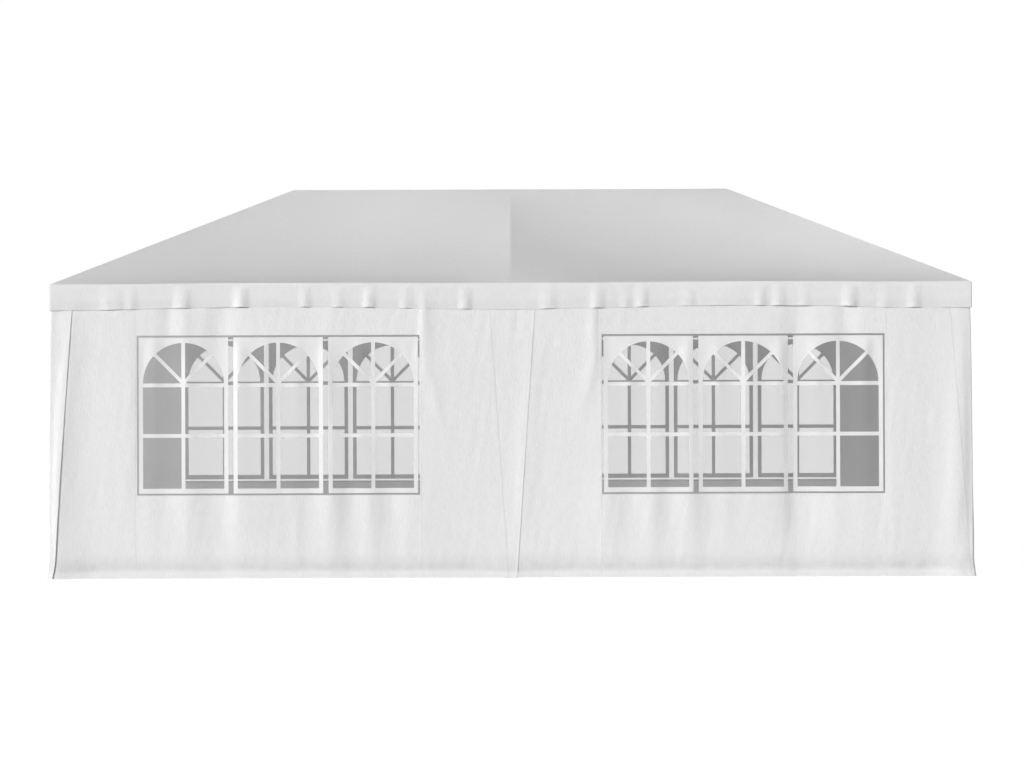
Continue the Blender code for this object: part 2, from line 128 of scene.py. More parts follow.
# %% Folds of the walls
# Each fold: its place at the ground, its width to the left and to the right, how far it stands
# out, its lean per metre of height, the height of its middle, and its reach up and down.
FOLDS = {
    "front": [
        (-2.978, 0.04, 0.07, 0.0100, 0.068, 0.90, 0.90),
        (-2.49, 0.35, 0.050, 0.0048, 0.00, 0.90, 0.80),
        (-2.36, 0.05, 0.06, 0.0035, 0.00, 0.45, 0.45),
        (-2.225, 0.06, 0.05, -0.0060, 0.00, 1.66, 0.20),
        (-2.13, 0.05, 0.05, 0.0040, 0.00, 1.66, 0.15),
        (-2.10, 0.085, 0.11, 0.0115, 0.00, 0.60, 0.75),
        (-1.895, 0.065, 0.09, -0.0085, 0.00, 1.62, 0.22),
        (-1.755, 0.08, 0.38, 0.0185, 0.00, 0.60, 0.90),
        (-1.40, 0.05, 0.045, 0.0030, 0.00, 0.50, 0.60),
        (-1.167, 0.095, 0.09, 0.0170, 0.00, 0.55, 0.70),
        (-1.165, 0.08, 0.12, 0.0040, 0.00, 1.45, 0.40),
        (-0.90, 0.08, 0.085, 0.0130, -0.050, 0.50, 0.60),
        (-0.66, 0.08, 0.30, 0.0100, 0.00, 0.55, 0.60),
        (-0.564, 0.028, 0.045, 0.0080, 0.00, 1.68, 0.26),
        (-0.245, 0.030, 0.040, 0.0045, -0.214, 1.22, 0.18),
        (0.033, 0.05, 0.09, 0.0045, 0.068, 0.80, 0.80),
        (0.547, 0.045, 0.020, 0.0060, 0.00, 1.62, 0.25),
        (0.204, 0.050, 0.035, 0.0045, 0.24, 1.25, 0.20),
        (0.63, 0.12, 0.09, 0.0095, 0.00, 0.45, 0.50),
        (0.912, 0.075, 0.08, 0.0105, 0.00, 0.50, 0.55),
        (1.16, 0.09, 0.09, 0.0135, 0.00, 0.55, 0.65),
        (1.382, 0.06, 0.06, 0.0035, 0.00, 0.50, 0.60),
        (1.865, 0.085, 0.16, -0.0185, 0.00, 0.50, 0.90),
        (1.86, 0.09, 0.09, -0.0080, 0.00, 1.65, 0.25),
        (2.185, 0.06, 0.06, -0.0075, 0.00, 1.62, 0.25),
        (2.12, 0.06, 0.06, 0.0025, 0.00, 0.45, 0.50),
        (2.315, 0.09, 0.12, 0.0060, 0.00, 0.55, 0.60),
        (2.50, 0.085, 0.35, 0.0115, 0.00, 0.55, 0.80),
        (2.857, 0.06, 0.06, 0.0080, 0.047, 0.60, 0.80),
        (2.985, 0.06, 0.04, 0.0120, 0.00, 0.12, 0.05),
    ],
    "back": [
        (-2.70, 0.10, 0.12, 0.006, 0.00, 0.40, 1.00),
        (-2.38, 0.08, 0.08, 0.005, 0.02, 0.50, 0.60),
        (-2.02, 0.10, 0.25, 0.010, -0.01, 0.60, 0.80),
        (-1.60, 0.08, 0.07, 0.006, 0.02, 0.45, 0.60),
        (-1.22, 0.07, 0.09, 0.008, -0.02, 0.45, 0.55),
        (-0.86, 0.10, 0.07, 0.009, 0.01, 0.60, 0.90),
        (-0.56, 0.04, 0.03, 0.005, 0.00, 1.62, 0.25),
        (0.57, 0.03, 0.04, 0.006, 0.00, 1.66, 0.25),
        (0.78, 0.08, 0.25, 0.008, 0.02, 0.45, 0.60),
        (1.12, 0.09, 0.07, 0.006, 0.00, 0.45, 0.55),
        (1.46, 0.07, 0.07, 0.007, -0.02, 1.10, 0.90),
        (1.83, 0.11, 0.09, 0.011, 0.01, 0.45, 0.60),
        (2.24, 0.07, 0.10, 0.006, 0.02, 0.50, 0.60),
        (2.60, 0.10, 0.08, 0.007, 0.00, 0.40, 0.80),
    ],
    "left": [
        (-1.18, 0.09, 0.07, 0.006, 0.02, 0.40, 1.00),
        (-0.77, 0.05, 0.06, 0.005, -0.01, 0.60, 0.90),
        (-0.52, 0.10, 0.14, 0.009, 0.02, 0.50, 0.90),
        (-0.14, 0.09, 0.07, 0.007, -0.02, 0.60, 1.10),
        (0.26, 0.08, 0.12, 0.008, 0.01, 0.40, 0.90),
        (0.40, 0.60, 0.60, 0.022, 0.00, 1.05, 0.35),
        (0.73, 0.05, 0.07, 0.006, 0.02, 0.50, 1.10),
        (1.10, 0.09, 0.07, 0.007, 0.00, 0.50, 1.00),
    ],
    "right": [
        (-1.15, 0.08, 0.06, 0.007, -0.01, 0.40, 1.00),
        (-0.74, 0.06, 0.05, 0.005, 0.02, 0.60, 1.10),
        (-0.60, 0.60, 0.60, 0.020, 0.00, 0.05, 0.50),
        (-0.48, 0.08, 0.12, 0.008, -0.02, 0.50, 1.00),
        (-0.10, 0.10, 0.08, 0.009, 0.01, 0.50, 1.00),
        (0.28, 0.08, 0.10, 0.007, 0.02, 0.60, 0.90),
        (0.76, 0.05, 0.06, 0.006, -0.01, 0.50, 1.10),
        (1.12, 0.08, 0.06, 0.006, 0.00, 0.50, 1.10),
    ],
}

# %% Drape of a side
FOLD_DEPTH = 1.38
LEFT_AT_GROUND = 0.45
FADE_FROM = 0.06
FADE_TO = 0.50
CORNER_FREE = 0.015
CORNER_CALM = 0.05
CRINKLES = 16
CRINKLE_HEIGHT = 0.00014


def crinkle_waves(seed):
    """Return a few small waves: turns per metre along and up, and a start."""
    draw = np.random.default_rng(seed)
    along = draw.uniform(5, 16, CRINKLES) * draw.choice([-1, 1], CRINKLES)
    return list(zip(along, draw.uniform(0.5, 3.5, CRINKLES), draw.uniform(0, 1, CRINKLES)))


WAVES = {side: crinkle_waves(seed) for seed, side in enumerate(TURNS, 1)}


def drape(side, u, z):
    """Return how far the cloth of a side stands out from its flat plane."""
    out = np.zeros(np.broadcast(u, z).shape)
    for at, left, right, height, lean, middle, reach in FOLDS[side]:
        across = u - at - lean * z
        across = across / np.where(across < 0, left, right)
        up = (z - middle) / reach
        out = out + FOLD_DEPTH * height * np.exp(-(across**2) - up**2)
    fade = ease((z - FADE_FROM) / (FADE_TO - FADE_FROM))
    out = out * (LEFT_AT_GROUND + (1 - LEFT_AT_GROUND) * fade)
    for along, up, start in WAVES[side]:
        out = out + CRINKLE_HEIGHT * np.sin(2 * math.pi * (along * u + up * z + start))
    return out * ease((ALONG[side] - np.abs(u) - CORNER_FREE) / CORNER_CALM)


probe_u, probe_z = np.meshgrid(np.linspace(-3, 3, 301), np.linspace(0, 1.9, 96))
print(f"front folds stand out up to {drape('front', probe_u, probe_z).max() * 1000:.0f} mm")

# %% [markdown]
# ## The hem on the ground
# The walls are a little longer than the space under the eave. The last hand's breadth first
# pulls in and then kicks out where the hem lands. At the corners the cloth has to move out
# along both sides at once, or the two sheets would tear apart there.

# %% Hem and hanging
CREASE = 0.063
PULL_IN = 0.0120
PULL_REACH = 0.042
KICK = 0.024
KICK_CURVE = 2.0
HEM_EDGE = 0.007


def kick(z):
    """Return how far the hem stands out: more and more inward to a crease, then out."""
    above = -PULL_IN * np.exp(-np.maximum(z - CREASE, 0) / PULL_REACH)
    below = np.clip((CREASE - np.maximum(z, HEM_EDGE)) / (CREASE - HEM_EDGE), 0, 1)
    return above + KICK * below**KICK_CURVE


print(f"hem: {kick(CREASE) * 1000:.0f} mm at the crease, {kick(0.0) * 1000:+.0f} mm at the ground")

# %% [markdown]
# By a middle leg the hem is not pulled in, because the leg stands right behind it. Towards a
# corner the walls run out a little further the lower they hang. One function then hangs any
# cloth: it adds the flat plane of the side, the foot, the folds and how proud the piece lies.

# %% Corners and legs
BULGE = 0.016
BULGE_DEPTH = 1.4
BULGE_CURVE = 0.5
FLARE = 0.012
FLARE_TOP = 0.120
FLARE_CURVE = 1.3
CORNER_NEAR = 0.06
CORNER_FAR = 0.30
LEG_NEAR = 0.02
LEG_FAR = 0.30


def flare(z):
    """Return how far the cloth stands out at a corner, where it can't be pulled in."""
    bulge = BULGE * np.clip((HEM_OF_VALANCE - z) / BULGE_DEPTH, 0, 1) ** BULGE_CURVE
    return bulge + FLARE * np.clip((FLARE_TOP - z) / FLARE_TOP, 0, 1) ** FLARE_CURVE


def hang(side, u, z, inset, proud=0.0):
    """Return the points of a cloth that hangs on a side, with its outer face at an inset."""
    u, z = np.broadcast_arrays(np.asarray(u, float), np.asarray(z, float))
    near = ease((CORNER_FAR - ALONG[side] + np.abs(u)) / (CORNER_FAR - CORNER_NEAR))
    along = u + np.sign(u) * flare(z) * near
    at_leg = ease((LEG_FAR - np.abs(u)) / (LEG_FAR - LEG_NEAR)) * (side in LONG_SIDES)
    free = kick(z) - np.minimum(kick(z), 0) * at_leg
    foot = flare(z) * near + free * (1 - near)
    return on_side(side, along, OUT[side] - inset + foot + drape(side, u, z) + proud, z)


print(f"corner foot stands out {flare(0.0) * 1000:.0f} mm")

# %% [markdown]
# ## From a grid of points to a sheet of cloth
# A sheet is a grid of quads given a real thickness, so its cut edges show as they do on the
# tent. The grid also carries a map in metres, which the weave is drawn on, and a mark that
# says how close each point is to a seam or a hem. Solidify grows the cloth inward only, so
# the face that shows stays where it was put. The edges are then shaded sharp.

# %% Making a sheet
CLOTH = 0.0005
SHARP = math.radians(50)


def thicken(mesh, thickness):
    """Return a copy of the mesh with a thickness, grown inward, and sharp cut edges."""
    holder = bpy.data.objects.new("holder", mesh)
    bpy.context.scene.collection.objects.link(holder)
    solid = holder.modifiers.new("thickness", "SOLIDIFY")
    solid.thickness = thickness
    solid.offset = -1.0
    solid.use_even_offset = False
    depsgraph = bpy.context.evaluated_depsgraph_get()
    made = bpy.data.meshes.new_from_object(holder.evaluated_get(depsgraph), depsgraph=depsgraph)
    bpy.data.objects.remove(holder)
    made.name = mesh.name
    bpy.data.meshes.remove(mesh)
    made.shade_smooth()
    made.set_sharp_from_angle(angle=SHARP)
    return made


def grid_mesh(name, points, chart, seam=0.0, keep=None):
    """Return a mesh of the grid's quads, with its map and its seam mark."""
    rows, columns = points.shape[:2]
    index = np.arange(rows * columns).reshape(rows, columns)
    corners = [index[:-1, :-1], index[:-1, 1:], index[1:, 1:], index[1:, :-1]]
    quads = np.stack([c.ravel() for c in corners], axis=-1)
    if keep is not None:
        quads = quads[keep.ravel()]
    used, quads = np.unique(quads, return_inverse=True)
    quads = quads.reshape(-1, 4)
    mesh = bpy.data.meshes.new(name)
    mesh.from_pydata(points.reshape(-1, 3)[used], [], quads.tolist())
    layer = mesh.uv_layers.new(name="UVMap")
    places = chart.reshape(-1, 2)[used][quads.ravel()]
    layer.uv.foreach_set("vector", places.astype(np.float32).ravel())
    marks = np.broadcast_to(seam, (rows, columns)).reshape(-1)[used]
    mark = mesh.attributes.new("seam", "FLOAT", "POINT")
    mark.data.foreach_set("value", marks.astype(np.float32))
    return mesh


def hung_grid(name, side, columns, rows, inset, proud=0.0, seam=0.0, keep=None):
    """Return the mesh of a cloth on a side, hung by its columns and rows."""
    grid_u, grid_z = np.meshgrid(columns, rows)
    points = hang(side, grid_u, grid_z, inset, proud)
    return grid_mesh(name, points, np.stack([grid_u, grid_z], -1), seam, keep)


def add_piece(name, mesh, finish, slot, *nodes):
    """Show a mesh as a piece of the tent that stands for some CAD nodes."""
    mesh.materials.clear()
    mesh.materials.append(finish)
    piece = bpy.data.objects.new(name, mesh)
    bpy.context.scene.collection.objects.link(piece)
    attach(piece, "root")
    if nodes:
        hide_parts(*nodes)
    return piece


# %% [markdown]
# ## Writing materials as arithmetic
# A procedural material is a sum worked out at every point. A few helpers keep the node trees
# readable: one adds a node and fills its sockets, and the others add a step of maths, a noise,
# a ramp or a bump, and hand back its result.

# %% Node helpers
BLACK = (0, 0, 0, 1)


def put(tree, kind, inputs=None, **settings):
    """Add a node, set it up and fill or link its inputs."""
    made = tree.nodes.new("ShaderNode" + kind)
    for name, value in settings.items():
        setattr(made, name, value)
    for key, value in (inputs or {}).items():
        if isinstance(value, bpy.types.NodeSocket):
            tree.links.new(value, made.inputs[key])
        else:
            made.inputs[key].default_value = value
    return made


def step_of(tree, operation, a, b=0.0, c=0.0):
    """Return the result of one step of maths."""
    return put(tree, "Math", {0: a, 1: b, 2: c}, operation=operation).outputs[0]


def noise(tree, place, scale, detail, distortion=0.0):
    """Return a cloudy noise that varies around one half."""
    inputs = {"Vector": place, "Scale": scale, "Detail": detail, "Distortion": distortion}
    return put(tree, "TexNoise", inputs).outputs["Fac"]


def stretched(tree, chart, along, up):
    """Return the map squeezed by two factors, for a noise with longer or shorter grains."""
    return put(tree, "Mapping", {"Vector": chart, "Scale": (along, up, 1.0)}).outputs[0]


def ramp(tree, value, start, end, low=0.0, high=1.0, kind="LINEAR"):
    """Return a number that goes from low to high while the value goes from start to end."""
    inputs = {0: value, 1: start, 2: end, 3: low, 4: high}
    return put(tree, "MapRange", inputs, interpolation_type=kind).outputs[0]


def bump_of(tree, height, distance, strength, below=None):
    """Return a surface tilted by a height, on top of the bump below it."""
    inputs = {"Height": height, "Distance": distance, "Strength": strength}
    if below is not None:
        inputs["Normal"] = below
    return put(tree, "Bump", inputs).outputs[0]


def map_of(tree):
    """Return the mesh's own map, which is in metres."""
    return put(tree, "UVMap", uv_map="UVMap").outputs["UV"]


def blank_material(name):
    """Return a new material and its empty tree."""
    material = bpy.data.materials.new(name)
    material.use_nodes = True
    material.node_tree.nodes.clear()
    return material, material.node_tree


# %% [markdown]
# ## The woven cloth
# The roof and walls are woven from flat plastic tapes and coated on both sides. Up close the
# tapes pass over and under each other, further off the coating shows faint crinkles, and some
# daylight comes through. So the weave is a checker that picks warp or weft, the crinkles are
# stretched noise, and a share of a Translucent shader lets the light through.

# %% Weave and stitches
TAPE = 0.0024
STITCH = 0.005
STITCH_GAP = 0.16
STITCHED_FROM = 0.80


def weave_height(tree, chart):
    """Return how high the weave stands: rounded tapes that pass over and under."""
    parts = put(tree, "SeparateXYZ", {0: chart})
    across = step_of(tree, "MULTIPLY", parts.outputs["X"], 1 / TAPE)
    up = step_of(tree, "MULTIPLY", parts.outputs["Y"], 1 / TAPE)
    warp = step_of(tree, "PINGPONG", across, 0.5)
    weft = step_of(tree, "PINGPONG", up, 0.5)
    cells = step_of(tree, "ADD", step_of(tree, "FLOOR", across), step_of(tree, "FLOOR", up))
    over = step_of(tree, "FLOORED_MODULO", cells, 2.0)
    picked = put(tree, "Mix", {0: over, 2: warp, 3: weft}, data_type="FLOAT")
    return step_of(tree, "POWER", picked.outputs[0], 0.5)


def stitch_height(tree, chart, seam):
    """Return the thread of a seam: short dashes along the line where the mark is highest."""
    parts = put(tree, "SeparateXYZ", {0: chart})
    both = step_of(tree, "ADD", parts.outputs["X"], parts.outputs["Y"])
    dash = step_of(tree, "PINGPONG", step_of(tree, "MULTIPLY", both, 1 / STITCH), 0.5)
    dash = step_of(tree, "GREATER_THAN", dash, STITCH_GAP)
    line = step_of(tree, "GREATER_THAN", seam, STITCHED_FROM)
    return step_of(tree, "MULTIPLY", dash, line)


print(f"tapes of {TAPE * 1000:.1f} mm, stitches of {STITCH * 1000:.0f} mm")

# %% [markdown]
# The tone holds streaks of its tapes, and seams that are doubled and pass less light. Shade is
# painted into it too: a patchy painted shade in the crease just above the walls' hem, and painted
# shade on the roof by the eave that turns into a little painted light towards the ridge. Both go
# by the height above the ground, so they stay on the tent wherever the camera is.

# %% Tone of the cloth
CLOUD = 0.05
STREAK = 0.13
SEAM_SHADE = 0.24
# Painted shade: a patchy dark band in the crease above the hem of the walls.
CREASE_SHADE_RISES = (0.032, 0.058)
CREASE_SHADE_ENDS = (0.058, 0.18)
CREASE_SHADE = 0.065
CREASE_SHADE_SPOTS = 0.15
EAVE_BLUR = 0.012
# Painted shade on the roof by the eave, turning to faint painted light at the ridge.
ROOF_PAINTED_SHADE = (0.034, -0.012)


def cloth_tone(tree, chart, place, seam, mottle):
    """Return how bright the cloth is at each point, painted shade by the hem and the eave included."""
    streak = noise(tree, stretched(tree, chart, along=110.0, up=20.0), scale=1.0, detail=5.0)
    tone = step_of(tree, "MULTIPLY_ADD", noise(tree, place, scale=1.7, detail=4.0), CLOUD, 1 - CLOUD / 2)
    tone = step_of(tree, "MULTIPLY_ADD", step_of(tree, "SUBTRACT", streak, 0.5), STREAK, tone)
    doubled = step_of(tree, "MULTIPLY_ADD", seam, -SEAM_SHADE, 1.0)
    tone = step_of(tree, "MULTIPLY", tone, doubled)
    # Painted shade: a patchy dark band in the crease just above the hem.
    height = put(tree, "SeparateXYZ", {0: place}).outputs["Z"]
    rises = ramp(tree, height, *CREASE_SHADE_RISES, kind="SMOOTHSTEP")
    ends = ramp(tree, height, *CREASE_SHADE_ENDS, low=1.0, high=0.0, kind="SMOOTHSTEP")
    low = step_of(tree, "MULTIPLY", rises, ends)
    painted_crease_shade = step_of(tree, "MULTIPLY_ADD", step_of(tree, "SUBTRACT", mottle, 0.5), CREASE_SHADE_SPOTS, CREASE_SHADE)
    tone = step_of(tree, "SUBTRACT", tone, step_of(tree, "MULTIPLY", low, painted_crease_shade))
    # Painted shade on the roof by the eave, fading to faint painted light at the ridge.
    on_roof = ramp(tree, height, EAVE - EAVE_BLUR, EAVE + EAVE_BLUR)
    painted_roof_shade = ramp(tree, height, EAVE, RIDGE, *ROOF_PAINTED_SHADE)
    return step_of(tree, "SUBTRACT", tone, step_of(tree, "MULTIPLY", on_roof, painted_roof_shade))


# %% Relief of the cloth
PEBBLE = 0.0004
WEAVE = 0.0003


def cloth_relief(tree, chart, seam, crinkle):
    """Return the cloth's bumps, each on top of a coarser one: crinkles, pebbles, then weave."""
    squeezed = stretched(tree, chart, along=75.0, up=38.0)
    rumple = noise(tree, squeezed, scale=1.0, detail=3.0, distortion=0.6)
    soft = bump_of(tree, rumple, crinkle, strength=1.0)
    fine = noise(tree, chart, scale=60.0, detail=3.0)
    pebble = bump_of(tree, fine, PEBBLE, strength=0.5, below=soft)
    woven = step_of(tree, "ADD", weave_height(tree, chart), stitch_height(tree, chart, seam))
    return bump_of(tree, woven, WEAVE, strength=0.35, below=pebble)


print(f"pebbles {PEBBLE * 1000:.1f} mm and weave {WEAVE * 1000:.1f} mm high")

# %% [markdown]
# The finished cloth is a coated surface mixed with the daylight that comes through from its
# other side. Where the cloth is doubled, less of it comes through. The roof is stretched and the
# walls hang free, so the two get the same cloth with different crinkles.

# %% Cloth material
WHITE_CLOTH = (0.90, 0.90, 0.90, 1)
DAYLIGHT = 0.48


def let_through(tree, shader, colour, relief, share):
    """Return a shader with a share of daylight let through in its colour."""
    through = put(tree, "BsdfTranslucent", {"Color": colour, "Normal": relief})
    inputs = {0: share, 1: shader.outputs[0], 2: through.outputs[0]}
    return put(tree, "MixShader", inputs).outputs[0]


def cloth_material(name, crinkle):
    """Return a woven cloth with seams, crinkles and a share of daylight let through."""
    material, tree = blank_material(name)
    chart = map_of(tree)
    seam = put(tree, "Attribute", attribute_name="seam").outputs["Fac"]
    place = put(tree, "TexCoord").outputs["Object"]
    mottle = noise(tree, place, scale=14.0, detail=6.0)
    tone = cloth_tone(tree, chart, place, seam, mottle)
    shade = put(tree, "Mix", {0: tone, 6: BLACK, 7: WHITE_CLOTH}, data_type="RGBA", clamp_factor=False)
    relief = cloth_relief(tree, chart, seam, crinkle)
    cloth = put(tree, "BsdfPrincipled", {
        "Base Color": shade.outputs[2],
        "Roughness": step_of(tree, "MULTIPLY_ADD", mottle, 0.16, 0.42),
        "Specular IOR Level": 0.35,
        "Normal": relief,
    })
    daylight = step_of(tree, "MULTIPLY_ADD", seam, -0.5 * DAYLIGHT, DAYLIGHT)
    surface = let_through(tree, cloth, shade.outputs[2], relief, daylight)
    put(tree, "OutputMaterial", {"Surface": surface})
    return material


wall_cloth = cloth_material("wall_cloth", crinkle=0.0017)
roof_cloth = cloth_material("roof_cloth", crinkle=0.0006)
print("cloth materials", wall_cloth.name, roof_cloth.name)

# %% [markdown]
# ## Clear film, white print and painted steel
# The window is one sheet of clear vinyl with white bars printed on it. The film takes a
# little light away and has faint ripples. The print is a thin glossy ink, whiter than the
# cloth. The steel tubes are powder coated, which leaves the finest orange peel.

# %% Film and print
FILM_GREY = (0.47, 0.47, 0.47, 1)
FILM_HAZE = 0.155
WHITE_INK = (0.93, 0.93, 0.93, 1)
INK_DAYLIGHT = 0.46


def film_material():
    """Return the clear vinyl: nearly see-through, with faint ripples."""
    material, tree = blank_material("window_film_finish")
    chart = map_of(tree)
    ripple = noise(tree, chart, scale=7.0, detail=2.0)
    film = put(tree, "BsdfPrincipled", {
        "Base Color": FILM_GREY,
        "Roughness": step_of(tree, "MULTIPLY_ADD", ripple, 0.08, 0.10),
        "Specular IOR Level": 0.3,
        "Normal": bump_of(tree, ripple, distance=0.004, strength=0.4),
        "Alpha": FILM_HAZE,
    })
    put(tree, "OutputMaterial", {"Surface": film.outputs[0]})
    return material


def print_material():
    """Return the white ink of the window bars."""
    material, tree = blank_material("window_print_finish")
    chart = map_of(tree)
    grain = noise(tree, chart, scale=90.0, detail=4.0)
    tone = step_of(tree, "MULTIPLY_ADD", grain, 0.06, 0.95)
    shade = put(tree, "Mix", {0: tone, 6: BLACK, 7: WHITE_INK}, data_type="RGBA")
    relief = bump_of(tree, grain, distance=0.0003, strength=0.25)
    ink = put(tree, "BsdfPrincipled", {
        "Base Color": shade.outputs[2],
        "Roughness": step_of(tree, "MULTIPLY_ADD", grain, 0.12, 0.22),
        "Normal": relief,
    })
    surface = let_through(tree, ink, shade.outputs[2], relief, INK_DAYLIGHT)
    put(tree, "OutputMaterial", {"Surface": surface})
    return material


film_finish = film_material()
print_finish = print_material()
print("window materials", film_finish.name, print_finish.name)

# %% [markdown]
# The steel frame keeps its CAD solids, because a tube is a tube. It only gets a finish: white
# powder coat, and a greyer patch here and there where hands and clamps have rubbed it.

# %% Steel
STEEL = (
    "foot", "leg_front", "leg_back", "corner_joint", "eave_joint", "ridge_joint", "eave_rail",
    "ridge_rail", "hip_rafter", "middle_rafter",
)
PAINT = (0.80, 0.81, 0.82, 1)
RUBBED_PAINT = (0.60, 0.61, 0.62, 1)
SHARP_STEEL = math.radians(35)


def steel_material():
    """Return white powder coat on steel tube, a little duller where it is handled."""
    material, tree = blank_material("powder_coated_steel")
    place = put(tree, "TexCoord").outputs["Object"]
    wear = noise(tree, place, scale=6.0, detail=6.0)
    peel = noise(tree, place, scale=420.0, detail=2.0)
    worn = ramp(tree, wear, 0.60, 0.72, low=0.0, high=0.35)
    shade = put(tree, "Mix", {0: worn, 6: PAINT, 7: RUBBED_PAINT}, data_type="RGBA")
    paint = put(tree, "BsdfPrincipled", {
        "Base Color": shade.outputs[2],
        "Roughness": step_of(tree, "MULTIPLY_ADD", wear, 0.25, 0.22),
        "Normal": bump_of(tree, peel, distance=0.0004, strength=0.2),
    })
    put(tree, "OutputMaterial", {"Surface": paint.outputs[0]})
    return material


steel_finish = steel_material()
tubes = [node for name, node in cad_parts.items() if name.startswith(STEEL)]
for node in tubes:
    node.data.materials.clear()
    node.data.materials.append(steel_finish)
    node.data.shade_smooth()
    node.data.set_sharp_from_angle(angle=SHARP_STEEL)
print("steel nodes", len(tubes))

# %% [markdown]
# ## The long walls
# Each long side has two walls, and each wall has a strip of film welded into it. The wall is
# one grid with the window's cells left out. Its columns are set close together at the seams
# beside the film, where the cloth is doubled and stands up in a thin rib. Its rows are set
# close together near the ground, where the hem creases and kicks out.

# %% Columns and rows of a long wall
STEP = 0.016
EDGE_STEP = 0.008
EDGE_ZONE = 0.10
ROW_STEP = 0.04
LOW_ROWS = [
    GROUND, 0.006, 0.008, 0.014, 0.021, 0.029, 0.038, 0.048, 0.053, 0.063, 0.072, 0.085, 0.102,
    0.125, 0.15,
]
CORNER_GAP = 0.0025
WALL_FROM = 0.0002
WALL_TO = HALF_LENGTH - WALL_INSET - CORNER_GAP
RIB_PLACE = 0.007
RIB_WIDTH = 0.0028
RIB_COLUMNS = RIB_WIDTH * np.array([-2.2, -1.3, -0.6, 0.0, 0.6, 1.3])
SEAMS = [-WINDOW_WIDTH / 2 - RIB_PLACE, WINDOW_WIDTH / 2 + RIB_PLACE]

window_columns = stations([-WINDOW_WIDTH / 2, WINDOW_WIDTH / 2], STEP)
window_rows = stations([WINDOW_BOTTOM, WINDOW_TOP], ROW_STEP)
wall_rows = line_of(
    LOW_ROWS,
    stations([LOW_ROWS[-1], WINDOW_BOTTOM], ROW_STEP),
    window_rows,
    stations([WINDOW_TOP, WALL_TOP], ROW_STEP),
)


def wall_columns(side):
    """Return the columns of a wall, from the middle of the tent to its corner."""
    middle = WINDOW_MIDDLE[side]
    return line_of(
        stations([WALL_FROM, middle + SEAMS[0] - 3 * RIB_WIDTH], STEP),
        middle + (SEAMS[0] + RIB_COLUMNS),
        middle + window_columns,
        middle + (SEAMS[1] + RIB_COLUMNS),
        stations([middle + SEAMS[1] + 3 * RIB_WIDTH, WALL_TO - EDGE_ZONE], STEP),
        stations([WALL_TO - EDGE_ZONE, WALL_TO], EDGE_STEP),
    )


print("a front wall has", len(wall_columns("front")), "columns and", len(wall_rows), "rows")

# %% [markdown]
# The hem is turned up and sewn, so it stands a hair further out than the rest. Each seam beside a
# window is a rib or a groove a few millimetres wide. Both leave a mark on the cloth, which the
# material reads: the higher the mark, the darker the doubled cloth.

# %% Hem and seams
HEM_DEPTH = 0.050
HEM_STEP = 0.0004
STEP_OVER = 0.003
STEP_BLUR = 0.005
HEM_MARK = 0.05
MARK_BLUR = 0.01
RIB_MARK = 0.80
SEAM_HEIGHTS = {"left": (-0.0007, 0.0007), "right": (0.0008, 0.0007)}


def hem_step(z):
    """Return the extra thickness of the doubled hem."""
    return HEM_STEP * ease((HEM_DEPTH + STEP_OVER - z) / STEP_BLUR)


def hem_mark(z):
    """Return the mark of the doubled hem."""
    return HEM_MARK * ease((HEM_DEPTH + MARK_BLUR - z) / (2 * MARK_BLUR))


def rib(half, across):
    """Return how far the seams beside a window stand up. across runs from the window's middle."""
    heights = zip(SEAMS, SEAM_HEIGHTS[half])
    return sum(height * np.exp(-(((across - at) / RIB_WIDTH) ** 2)) for at, height in heights)


print(f"hem {HEM_DEPTH * 1000:.0f} mm deep, seams {rib('right', SEAMS[0]) * 1000:.1f} mm proud")

# %% Long walls
LONG_WALLS = [(side, half) for side in LONG_SIDES for half in ("left", "right")]


def cell_middles(line):
    """Return the middles of the cells along a line."""
    return (line[:-1] + line[1:]) / 2


def in_window(across, z):
    """Say which cells of a long wall are its window."""
    wide = np.abs(cell_middles(across)) < WINDOW_WIDTH / 2
    middle_z = cell_middles(z)
    high = (middle_z > WINDOW_BOTTOM) & (middle_z < WINDOW_TOP)
    return high[:, None] & wide[None, :]


def hand_of(side, half):
    """Return which way a wall lies from the middle, seen from outside its side."""
    return -1 if (half == "left") != (side == "back") else 1


def wall_piece(name, mesh, node):
    """Show a mesh as a piece of wall cloth."""
    return add_piece(name, thicken(mesh, CLOTH), wall_cloth, "wall_fabric", node)


def long_wall(side, half, name):
    """Hang one wall with a window."""
    hand = hand_of(side, half)
    middle = hand * WINDOW_MIDDLE[side]
    across = np.sort(hand * wall_columns(side)) - middle
    ribs = rib(half, -hand * across if half == "left" else hand * across)
    z = wall_rows[:, None]
    mark = np.maximum(RIB_MARK * np.abs(ribs) / RIB_WIDTH, hem_mark(z))
    keep = ~in_window(across, wall_rows)
    proud = ribs + hem_step(z)
    mesh = hung_grid(name, side, across + middle, wall_rows, WALL_INSET, proud, mark, keep)
    piece = wall_piece(name, mesh, f"wall_{side}_{half}")
    return piece


long_walls = [long_wall(side, half, f"cloth_wall_{side}_{half}") for side, half in LONG_WALLS]
print("long walls", [len(piece.data.polygons) for piece in long_walls])

# %% [markdown]
# ## The film in the windows
# The film overlaps the cloth by a finger's breadth behind the cut edge, where it is welded.
# It has the same columns and rows as the wall, so that it follows every fold of it. Between
# its welds it also puckers in upright ridges, most of all in its upper half.

